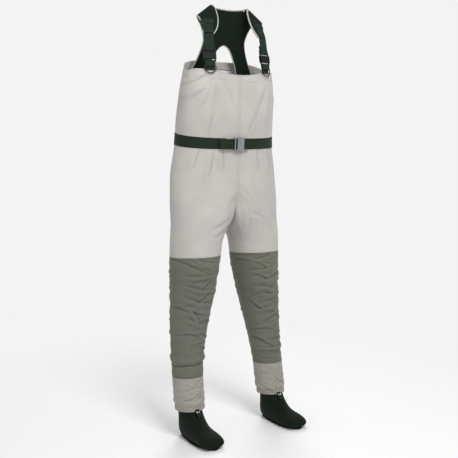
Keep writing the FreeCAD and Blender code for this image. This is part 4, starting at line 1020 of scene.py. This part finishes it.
def buckle_frame(prefix):
    """A buckle's frame read from the joints: across, inwards and in the direction of release."""
    outer, inner = JOINTS[f"{prefix}_prong_outer_press"], JOINTS[f"{prefix}_prong_inner_press"]
    z, y = (np.array(axis, float) / np.linalg.norm(axis)
            for axis in (JOINTS[f"{prefix}_plug_slide"]["axis"], outer["axis"]))
    middle = (np.array(outer["pos_m"]) + np.array(inner["pos_m"])) / 2
    return Frame(middle - PRONG_ROOT * z, np.cross(y, z), y, z)


HALF_WEB = 0.0185                    # half the width of the straps
WEB = 0.0013                         # their thickness
FOLD = 0.0030                        # radius of a fold round a bar


def rounding(width, segments=3, angle=35):
    """Settings of a bevel on the edges sharper than an angle."""
    return dict(width=width, segments=segments, limit_method="ANGLE", angle_limit=math.radians(angle))


def ribbon(name, place, path, half=HALF_WEB, closed=False, sway=None, round_end=0.0):
    """Flat webbing along a path of (inwards, along) pairs in a buckle's frame."""
    flat = even([(0.0, y, z) for y, z in path], 0.0016, closed)
    across = np.linspace(-1, 1, 15)
    length = lengths(flat)
    rows = []
    for i, (_, y, z) in enumerate(flat):
        left = length[-1] - length[i]
        width = half
        if round_end and left < round_end:
            width = half * (1 - 0.35 * (1 - left / round_end) ** 2)
        shift = sway(length[i] / length[-1]) if sway else 0.0
        rows.append([place.at(a * width, y + shift, z) for a in across])
    if closed:
        rows.append(rows[0])
    made = thick(material(grid_object(name, rows), "webbing"), WEB, inner=0, offset=0.0)
    return applied(made, BEVEL=rounding(0.0004, 2, 50))


def arc(y, z, radius, start, stop, count=9):
    """Points of an arc in a buckle's frame, degrees from the inward direction."""
    angles = np.radians(np.linspace(start, stop, count))
    return [(y + radius * math.cos(a), z + radius * math.sin(a)) for a in angles]


def moulded(node, body, slot, width=0.0007):
    """A CAD piece with its edges rounded as a moulding's are."""
    mesh = frame["nodes"][node].data.copy()
    made = bpy.data.objects.new(node + "_moulded", mesh)
    bpy.context.scene.collection.objects.link(made)
    bm = bmesh.new()
    bm.from_mesh(mesh)
    bmesh.ops.remove_doubles(bm, verts=bm.verts, dist=1e-6)
    bmesh.ops.dissolve_limit(bm, angle_limit=math.radians(1.5), verts=bm.verts, edges=bm.edges)
    bm.to_mesh(mesh)
    bm.free()
    material(made, slot)
    mesh.polygons.foreach_set("use_smooth", [True] * len(mesh.polygons))
    applied(made, BEVEL=rounding(width), WEIGHTED_NORMAL=dict(keep_sharp=False, weight=60))
    placed(made, body, node)
    return made


places = {prefix: buckle_frame(prefix) for prefix in ("belt", "right", "left")}
for prefix, node_prefix, slot in (
    ("belt", "belt_buckle", "belt_buckle"),
    ("right", "right_strap_buckle", "buckle"),
    ("left", "left_strap_buckle", "buckle"),
):
    moulded(node_prefix + "_socket", ROOT, slot, 0.0011)
    moulded(node_prefix + "_plug", f"{prefix}_plug", slot, 0.0009)
    for finger in ("outer", "inner"):
        moulded(f"{node_prefix}_prong_{finger}", f"{prefix}_prong_{finger}", slot, 0.0005)

# the rail and the end bar of the belt's plug: centre and size of each block, in the buckle's frame
RAIL = (
    ((0.0, -0.0072, 0.0470), (0.0446, 0.0030, 0.0046)),
    ((-0.0212, -0.0045, 0.0420), (0.0028, 0.0070, 0.0130)),
    ((0.0212, -0.0045, 0.0420), (0.0028, 0.0070, 0.0130)),
    ((0.0, -0.0062, 0.0330), (0.0440, 0.0030, 0.0060)),
)
BOX = ((0, 1, 3, 2), (4, 6, 7, 5), (0, 4, 5, 1), (2, 3, 7, 6), (0, 2, 6, 4), (1, 5, 7, 3))
ENDS = (-1, 1)
vertices, faces = [], []
for centre, extent in RAIL:
    faces += [tuple(len(vertices) + i for i in f) for f in BOX]
    for signs in [(i, j, k) for i in ENDS for j in ENDS for k in ENDS]:
        vertices.append(places["belt"].at(*(c + d * s / 2 for c, s, d in zip(centre, extent, signs))))
made = material(edited(new_object("belt_buckle_rail", vertices, faces)), "belt_buckle")
applied(made, BEVEL=rounding(0.0010))
placed(made, "belt_plug")

# the belt: one band round the waist, from the socket's bar to behind the plug
SOCKET_END, PLUG_END = 0.0069, -0.0500   # where the band comes out beside the buckle, and where it ends


def round_waist(lift, outset):
    """A fine ring round the waist, over the garment."""
    return finer(np.stack([tilted_ring(BELT + lift, outset)] * 3), True)[0]


belt_rows = np.array([round_waist(lift, 0.0013) for lift in np.linspace(-0.020, 0.020, 13)])[::-1]
across, along = belt_rows[6, :, 0], belt_rows[6, :, 1]
first = np.flatnonzero(across > SOCKET_END)[0]
last = np.flatnonzero((across < PLUG_END) & (along < 0))[-1]
made = grid_object("belt_strap_web", belt_rows[:, first:last + 1])
layer(made, "webbing", 0.0015, "belt_strap", offset=0.0)
for label, row in (("top", 0), ("bottom", -1)):
    piped(f"belt_{label}_selvedge", belt_rows[row, first:last + 1], 0.0009, "webbing", sides=8)

HALF_LOOP = ((0.029, 0.0012), (0.025, 0.0016), (0.0215, 0.0030), (0.012, 0.0034))
loop = [*HALF_LOOP, (0.0, 0.0034), *((-lift, outset) for lift, outset in HALF_LOOP[::-1])]
loop_rows = np.array([round_waist(*row) for row in loop])
made = grid_object("belt_loop_web", columns(loop_rows, N - 5, N + 5))
layer(made, "webbing", 0.0012, "belt_loop", offset=0.0)

place = places["belt"]
path = [(FOLD, -0.016), (FOLD, 0.0)] + arc(0, 0, FOLD, 0, 180) + [(-FOLD, -0.016)]
made = placed(ribbon("belt_end_fold_web", place, path), ROOT, "belt_end_fold")
bar = 0.039                          # from the socket's bar to the plug's
path = [(FOLD, bar + 0.022), (FOLD, bar)] + arc(0, bar, FOLD, 0, -180) + [(-FOLD, bar + 0.070)]
made = ribbon("belt_tail_web", place, path, round_end=0.012,
              sway=lambda t: 0.0022 * max(t - 0.4, 0) ** 2 / 0.36)
placed(made, "belt_plug", "belt_tail")

for side, word in SIDES:
    place = places[word]
    ring_bar, foot = -0.017, -0.033  # below the socket's bar: the ring's straight side, the tab's lower end
    path = arc(0, 0, FOLD, 0, 180) + arc(0, ring_bar, FOLD, 180, 360)
    made = placed(ribbon(f"{word}_strap_tab_loop", place, path, closed=True), ROOT)
    patch = ribbon(f"{word}_strap_tab_patch", place, [(0.0044, -0.002), (0.0044, foot)], round_end=0.004)
    placed(patch, ROOT, f"{word}_strap_tab")
    front = [place.at(a, -FOLD - 0.0007, -0.0125) for a in np.linspace(-0.0165, 0.0165, 12)]
    sewn(f"{word}_tab_stitch", front, [-place.y] * 12, "dark_thread")
    path = [(FOLD, bar + 0.030), (FOLD, bar)] + arc(0, bar, FOLD, 0, -180) + [(-FOLD, bar + 0.0106)]
    made = ribbon(f"{word}_strap_tail_web", place, path)
    placed(made, f"{word}_plug", f"{word}_strap_tail")
    low, high = bar + 0.0107, 0.0985
    made = ribbon(f"{word}_strap_web", place, [(-FOLD, low), (-FOLD, high)])
    placed(made, ROOT, f"{word}_strap_webbing")
    tuple(place.at(0, -FOLD, high))
    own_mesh(made)

    swing = JOINTS[f"{word}_d_ring_swing"]
    x = -np.array(swing["axis"], float)
    middle = np.array(swing["pos_m"], float)
    y = np.cross(place.z, x)
    half, depth, bend, wire = 0.021, 0.0055, 0.004, 0.0020
    path = [(-half + bend, 0.0), (half - bend, 0.0)]
    for a in np.radians((22, 45, 68, 90)):
        path.append((half - bend + bend * math.sin(a), -bend + bend * math.cos(a)))
    path.append((half, -depth))
    path += [(half * math.cos(a), -depth - half * math.sin(a)) for a in np.radians(np.arange(6, 180, 6))]
    path += [(-half, -depth), (-half, -bend)]
    for a in np.radians((22, 45, 68)):
        path.append((-half + bend - bend * math.cos(a), -bend + bend * math.sin(a)))
    points = even([middle + x * a + place.z * b for a, b in path], 0.0013, closed=True)
    piped(f"{word}_d_ring_wire", points, wire, "d_ring", f"{word}_ring", f"{word}_d_ring", closed=True,
          sides=16)

# ---------------------------------------------------------------- the padded yoke

LEAN = math.tan(math.radians(13.0))      # of the back plate
FOOT, ARCH, WAIST = 1.342, 1.443, 1.455  # heights: its feet, the top of the arch, the narrowest place
ARCH_HALF, WAIST_HALF, FOOT_FLARE, TOP_FLARE = 0.066, 0.088, 0.046, 0.022
NECK_LOW, NECK_TOP, SHOULDER_TOP = 1.565, 1.571, 1.530
NECK, SHOULDER = np.array((0.069, -0.038, 1.559)), np.array((0.131, -0.038, 1.514))
PLATE_Y = 0.044
BACK_SHOULDER = 0.112                # half width of the plate at its top
PAD = 0.0066                         # thickness


def plate_y(x, z):
    """Depth of the middle of the back plate, slightly wrapped round the wearer's back."""
    return PLATE_Y - (z - FOOT) * LEAN - 0.10 * x * x


def inner_edge(z):
    return ARCH_HALF * math.sqrt(max(1 - (z - FOOT) / (ARCH - FOOT), 0.0))


def outer_edge(z):
    if z < WAIST:
        return WAIST_HALF + FOOT_FLARE * ((WAIST - z) / (WAIST - FOOT)) ** 1.5
    return min(WAIST_HALF + TOP_FLARE * ((z - WAIST) / (SHOULDER[2] - WAIST)) ** 1.7, BACK_SHOULDER)


def top_edge(x):
    if x < NECK[0]:
        return NECK_LOW + 0.006 * (x / NECK[0]) ** 2
    return NECK_TOP - (NECK_TOP - SHOULDER_TOP) * (x - NECK[0]) / (BACK_SHOULDER - NECK[0])


def plate_point(a, t, side):
    """A point of the plate: a runs from the inner edge to the outer, t from the foot to the top."""
    x, z = 0.05, FOOT
    for _ in range(12):
        z = FOOT + t * (top_edge(x) - FOOT)
        inner = inner_edge(z)
        x = inner + a * (outer_edge(z) - inner)
    return np.array((side * x, plate_y(x, z), z))


def pad(name, grids, nodes):
    """A soft pad of the yoke: a sheet thickened both ways and rounded."""
    made = material(thick(joined(name, grids), PAD, inner=0, offset=0.0), "yoke_pad")
    applied(made, SUBSURF=dict(levels=1, render_levels=1))
    placed(made, ROOT, nodes)


def spaced(path):
    """The path without points that repeat the one before, at even steps."""
    kept = [path[0]] + [b for a, b in zip(path, path[1:]) if np.linalg.norm(b - a) > 0.0004]
    return even(kept, 0.003)


rows_t = np.linspace(0, 1, 46) ** 0.9
rows_a = np.linspace(0, 1, 26)
halves = []
for side, word in SIDES:
    grid = np.array([[plate_point(a, t, side) for a in rows_a] for t in rows_t])[::-1]
    halves.append((grid, side > 0, (0.0, 0.0), (0.0045, 0.005)))
pad("yoke_back_pad", halves, "yoke_plate")

wing_edges = {}
for side, word in SIDES:
    place = places[word]
    flip = np.array((side, 1, 1))
    neck, shoulder = NECK * flip, SHOULDER * flip
    foot = place.at(0, 0, 0.0990)
    line = (neck - shoulder) / np.linalg.norm(neck - shoulder)
    normal = np.cross(line, foot - shoulder)
    normal /= np.linalg.norm(normal)
    if normal[1] > 0:
        normal = -normal
    across = np.array((-normal[1], normal[0], 0.0))
    across /= np.linalg.norm(across)
    across *= np.sign(across[0])
    up = np.cross(across, -normal)
    up *= np.sign(up[2])
    inner_foot, outer_foot = foot - across * side * 0.0195, foot + across * side * 0.0195
    bulge = foot - across * side * 0.040 + up * 0.045
    rise = np.array((0.524 * side, 0.0, 0.852))
    b_steps = np.linspace(0, 1, 17)
    rows = []
    for angle in np.linspace(0, math.pi, 15)[:-1]:
        row = []
        for b in b_steps:
            corner = neck * (1 - b) + shoulder * b
            back = plate_y(corner[0], corner[2])
            radius = (back - corner[1]) / 2
            centre = np.array((corner[0], (back + corner[1]) / 2, corner[2]))
            point = centre + np.array((0, 1, 0)) * radius * math.cos(angle) + rise * radius * math.sin(angle)
            point[0] -= side * (SHOULDER[0] - BACK_SHOULDER) * b * (1 + math.cos(angle)) / 2
            row.append(point)
        rows.append(row)
    for v in np.linspace(0, 1, 34):
        control = 2 * bulge - (neck + inner_foot) / 2
        inner = neck * (1 - v) ** 2 + control * 2 * v * (1 - v) + inner_foot * v ** 2
        hollow = 0.010 * math.sin(math.pi * v) * (1 - v * 0.5)
        outer = shoulder * (1 - v) + outer_foot * v - across * side * hollow
        rows.append([inner * (1 - b) + outer * b for b in b_steps])
    rows = np.array(rows)
    wing_edges[word] = (rows[:, 0], rows[:, -1])
    pad(f"{word}_shoulder_pad", [(rows, side < 0, (0.0, 0.0), (0.004, 0.0035))],
        (f"{word}_shoulder_wing", f"{word}_shoulder_crest"))

    path = [(-0.0046, 0.001), (-0.0046, 0.043), (-0.0040, 0.048)]
    made = ribbon(f"{word}_wing_web", Frame(foot, across, -normal, up), path)
    placed(made, ROOT, f"{word}_wing_webbing")

    # the band sewn across the wing above the webbing
    path = [(-0.0042, -0.023), (-0.0062, -0.019), (-0.0066, 0.0), (-0.0062, 0.019), (-0.0042, 0.024)]
    band = Frame(foot + up * 0.046, up, -normal, -side * across)
    made = ribbon(f"{word}_wing_band", band, path, half=0.0095)
    placed(made, ROOT)

PIPING = 0.0031                      # radius of the neck's piping
neck_line = [plate_point(a, 1.0, 1) for a in (0.0, *rows_a)]
neck_line = np.array([point for i, point in enumerate(neck_line) if not i or point[0] < 0.070])
CREST_TOP = 7                        # row of the wing's grid at the top of the shoulder
left_in, right_in = wing_edges["left"][0][CREST_TOP:], wing_edges["right"][0][CREST_TOP:]
path = np.vstack([right_in[::-1], (neck_line * (-1, 1, 1))[::-1], neck_line[1:], left_in])
piped("neck_binding_tape", spaced(path), PIPING, "binding")
arch_path = [plate_point(0.0, t, 1) for t in np.linspace(0, 1, 60)]
arch_path = np.array([p for p in arch_path if p[0] > 0.001] + [np.array((0.0, plate_y(0, ARCH), ARCH))])
path = np.vstack([arch_path, (arch_path * (-1, 1, 1))[::-1][1:]])
piped("arch_binding_tape", even(path, 0.003), PIPING * 0.9, "binding", nodes="yoke_binding")
for side, word in SIDES:
    outer = np.array([plate_point(1.0, t, side) for t in np.linspace(0, 1, 60)])
    path = np.vstack([outer[outer[:, 2] < SHOULDER[2] - 0.002], wing_edges[word][1]])
    piped(f"{word}_wing_binding_tape", spaced(path), PIPING * 0.9, "binding", nodes=f"{word}_wing_binding")

# ---------------------------------------------------------------- socks, sleeves, elastics and lace hooks

# (depth, height) of the front and of the back or sole of each ring round the foot, and its half width
SOCK = [
    ((-0.011, 0.175), (0.081, 0.175), 0.0455),
    ((-0.013, 0.145), (0.077, 0.145), 0.0440),
    ((-0.016, 0.118), (0.073, 0.116), 0.0430),
    ((-0.022, 0.101), (0.074, 0.090), 0.0425),
    ((-0.035, 0.087), (0.078, 0.066), 0.0430),
    ((-0.051, 0.076), (0.083, 0.044), 0.0430),
    ((-0.067, 0.068), (0.086, 0.025), 0.0425),
    ((-0.081, 0.062), (0.080, 0.0095), 0.0420),
    ((-0.093, 0.058), (0.060, 0.0035), 0.0430),
    ((-0.104, 0.054), (0.020, 0.0030), 0.0450),
    ((-0.115, 0.051), (-0.025, 0.0030), 0.0470),
    ((-0.126, 0.047), (-0.065, 0.0030), 0.0480),
    ((-0.136, 0.043), (-0.100, 0.0032), 0.0470),
    ((-0.1460, 0.037), (-0.128, 0.0035), 0.0440),
    ((-0.1530, 0.029), (-0.146, 0.0045), 0.0370),
    ((-0.1565, 0.020), (-0.154, 0.0090), 0.0230),
]
FOOT_X = 0.184
SOCK_SIDES = 72
SOLE_SIDES = 96
# scale of the outline and height of each ring of a sole
SOLE = ((0.30, 0.0), (0.60, 0.0), (0.90, 0.0), (0.955, 0.0004), (0.985, 0.0016), (1.0, 0.0034),
        (1.005, 0.0050), (0.99, 0.0060), (0.93, 0.0062), (0.60, 0.0062), (0.30, 0.0062))
# radius and height of each ring of a rivet
RIVET = ((0.0031, 0.0), (0.0031, 0.0004), (0.0027, 0.0009), (0.0017, 0.0013), (0.0008, 0.0014))
RIVET_SIDES = 20
C, S = math.cos(math.radians(46.0)), math.sin(math.radians(46.0))   # slant of the lace hook's tab


def sock_rings(side):
    """Rings of a sock from the ankle to the toe, wider at the ball on the inside."""
    table = np.array([[*front, *back, half] for front, back, half in SOCK])
    fine = np.linspace(0, len(table) - 1, 61)
    rows = np.array([np.interp(fine, np.arange(len(table)), table[:, c]) for c in range(5)]).T
    kernel = np.array([1, 4, 6, 4, 1]) / 16
    for _ in range(3):
        middle = np.stack([np.convolve(rows[:, c], kernel, mode="valid") for c in range(5)], 1)
        rows[2:-2] = middle
    rings = []
    for fy, fz, by, bz, half in rows:
        front, back = np.array((fy, fz)), np.array((by, bz))
        centre, reach = (front + back) / 2, (front - back) / 2
        ring = []
        for angle in turns(SOCK_SIDES):
            c, s = math.cos(angle), math.sin(angle)
            y, z = centre + reach * c
            flat = float(np.clip((0.035 - z) / 0.035, 0, 1)) ** 1.5
            width = half * (1 + 0.04 * flat) * math.copysign(abs(s) ** (1 - 0.22 * flat), s)
            ball = 0.0035 * math.exp(-((y + 0.07) / 0.045) ** 2)
            x = side * FOOT_X + width - side * ball * 0.4
            ring.append((x, y, max(z, 0.0030)))
        rings.append(ring)
    return np.array(rings)


def circle(x, y, z, radius, angle):
    """Points round a level ring."""
    return np.stack([x + radius * np.cos(angle), y + radius * np.sin(angle), np.full(len(angle), z)], 1)


for side, word in SIDES:
    rings = sock_rings(side)
    toe = (len(rings) - 1) * SOCK_SIDES
    made = grid_object(f"{word}_sock_foam", rings, closed=True)
    material(edited(made, caps=[range(toe, toe + SOCK_SIDES)]), "neoprene")
    applied(made, SUBSURF=dict(levels=1, render_levels=1), SOLIDIFY=dict(thickness=0.0035, offset=-1.0))
    made.data.polygons.foreach_set("use_smooth", [True] * len(made.data.polygons))
    placed(made, ROOT, f"{word}_sock")

    outline = []
    for angle in turns(SOLE_SIDES):
        c, s = math.cos(angle), math.sin(angle)
        y = -0.0385 - 0.1170 * c
        toe = 1 + 0.05 * math.exp(-((y + 0.095) / 0.05) ** 2) - 0.08 * math.exp(-((y - 0.010) / 0.05) ** 2)
        outline.append((side * FOOT_X + 0.0405 * toe * math.copysign(abs(s) ** 0.92, s), y))
    outline = np.array(outline)
    centre = np.array((side * FOOT_X, -0.0385))
    rows = []
    for scale, height in SOLE:
        ring = centre + (outline - centre) * scale
        rows.append(np.concatenate([ring, np.full((len(ring), 1), height)], 1))
    made = grid_object(f"{word}_sole_foam", rows, closed=True)
    upper = (len(SOLE) - 1) * SOLE_SIDES
    edited(made, caps=[range(SOLE_SIDES), range(upper, upper + SOLE_SIDES)])
    placed(material(made, "sole_neoprene"), ROOT, f"{word}_sock_sole")

    rows, angle = [], turns(120)
    for height in np.linspace(0.226, 0.176, 18):
        t = (CUFF - height) / 0.052
        ripple = 0.0007 * np.sin(angle * 9 + 40 * height) + 0.0004 * np.sin(height * 900)
        radius = 0.0545 - 0.0090 * t + ripple
        rows.append(circle(side * (0.181 + 0.003 * t), 0.044 - 0.009 * t, height, radius, angle))
    made = grid_object(f"{word}_ankle_sleeve_cloth", rows, closed=True)
    layer(made, "lining", 0.0009, f"{word}_ankle_sleeve")

    angle = turns(360)
    ribs = 0.0497 + 0.00045 * np.sin(angle * 72)
    rows = [circle(side * 0.183, 0.0295, height, ribs, angle) for height in np.linspace(0.1195, 0.1085, 7)]
    made = grid_object(f"{word}_hem_elastic_band", rows, closed=True)
    layer(made, "elastic", 0.0012, f"{word}_hem_elastic")


    tab = Frame((side * 0.183, -0.0266, 0.109), (1, 0, 0), (0, C, -S), (0, S, C))
    path = [(-0.0007, 0.006), (-0.0007, -0.0245)]
    made = ribbon(f"{word}_lace_hook_web", tab, path, half=0.0085, round_end=0.008)
    placed(made, ROOT, f"{word}_lace_hook_tab")
    vertices, faces = [], []
    for middle in (-0.0040, 0.0040):
        for radius, height in RIVET:
            for a in np.arange(RIVET_SIDES) * 2 * math.pi / RIVET_SIDES:
                z = -0.006 + radius * math.sin(a)
                vertices.append(tab.at(middle + radius * math.cos(a), -0.0014 - height, z))
    ids = np.arange(len(vertices)).reshape(2, len(RIVET), RIVET_SIDES)
    for one in ids:
        faces += grid_faces(one[::-1], True)
        faces.append(tuple(int(i) for i in one[-1]))
    made = new_object(f"{word}_lace_rivets", vertices, faces)
    placed(material(made, "hook_metal"), ROOT)
    hook = [(0.0011, -0.009), (0.0011, -0.020)] + arc(0.0041, -0.020, 0.0030, 180, 360)[1:]
    wire = even([tab.at(0, y, z) for y, z in hook], 0.0008)
    piped(f"{word}_lace_hook_wire", wire, 0.0010, "hook_metal", nodes=f"{word}_lace_hook", sides=10)

# ---------------------------------------------------------------- floor, light and camera

floor = bpy.data.meshes.new("floor")
floor.from_pydata([(-9, -9, 0), (9, -9, 0), (9, 9, 0), (-9, 9, 0)], [], [(0, 1, 2, 3)])
floor = bpy.data.objects.new("floor", floor)
bpy.context.scene.collection.objects.link(floor)
floor.location.z = -0.0005
nodes = Nodes("studio_floor")
WHITE = 0.90                         # brightness of the backdrop
spot = nodes.add("TexCoord").outputs["Object"]
grain = nodes.noise(spot, 3.0, 3.0)
away = nodes.add("VectorMath", {0: spot}, operation="LENGTH").outputs["Value"]
far = nodes.range(away, 0.25, 1.9, 0.0, 1.0)
near = nodes.mix(grain, (0.83, 0.83, 0.83, 1), (0.86, 0.86, 0.86, 1))
nodes.feed(nodes.shader, {"Specular IOR Level": 0.0, "Emission Color": (WHITE, WHITE, WHITE, 1),
                          "Emission Strength": far})
floor.data.materials.append(nodes.finish(nodes.mix(far, near, (0.0, 0.0, 0.0, 1)),
                                         nodes.range(grain, 0, 1, 0.85, 0.95), grain, 0.0001))
floor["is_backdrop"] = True

world = bpy.data.worlds.new("studio")
bpy.context.scene.world = world
sky = Nodes(world)
up = sky.add("SeparateXYZ", {0: sky.add("TexCoord").outputs["Generated"]}).outputs[2]
backdrop = sky.range(up, 0.25, 0.55, WHITE, 0.42)
sky.feed(sky.tree.nodes["Background"], {"Color": (1.0, 1.0, 1.0, 1.0), "Strength": backdrop})


def soft_light(name, location, target, size, power):
    light = bpy.data.lights.new(name, "AREA")
    light.shape = "RECTANGLE"
    light.size, light.size_y = size
    light.energy = power
    made = bpy.data.objects.new(name, light)
    bpy.context.scene.collection.objects.link(made)
    made.location = location
    made.rotation_euler = (Vector(target) - Vector(location)).to_track_quat("-Z", "Y").to_euler()


soft_light("key", (-0.3, -2.3, 3.2), (0, 0, 0.7), (1.1, 1.1), 76)
soft_light("fill", (-1.9, -2.6, 1.4), (0, 0, 0.8), (1.6, 2.0), 10)
soft_light("back", (1.5, 2.4, 2.9), (0, 0, 0.8), (1.4, 1.4), 60)
bpy.context.scene.view_settings.view_transform = "Standard"

camera = bpy.data.cameras.new("camera")
camera.lens, camera.sensor_width = 57.6, 36.0
camera.shift_x, camera.shift_y = 0.0065, -0.0065
camera.clip_start = 0.05
view = bpy.data.objects.new("camera", camera)
bpy.context.scene.collection.objects.link(view)
view.matrix_world = (
    Matrix.Translation((-1.464, -2.315, 0.950))
    @ Matrix.Rotation(math.radians(-31.9), 4, "Z")
    @ Matrix.Rotation(math.radians(90 - 3.7), 4, "X")
    @ Matrix.Rotation(math.radians(-1.5), 4, "Z")
)
bpy.context.scene.camera = view

low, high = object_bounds()
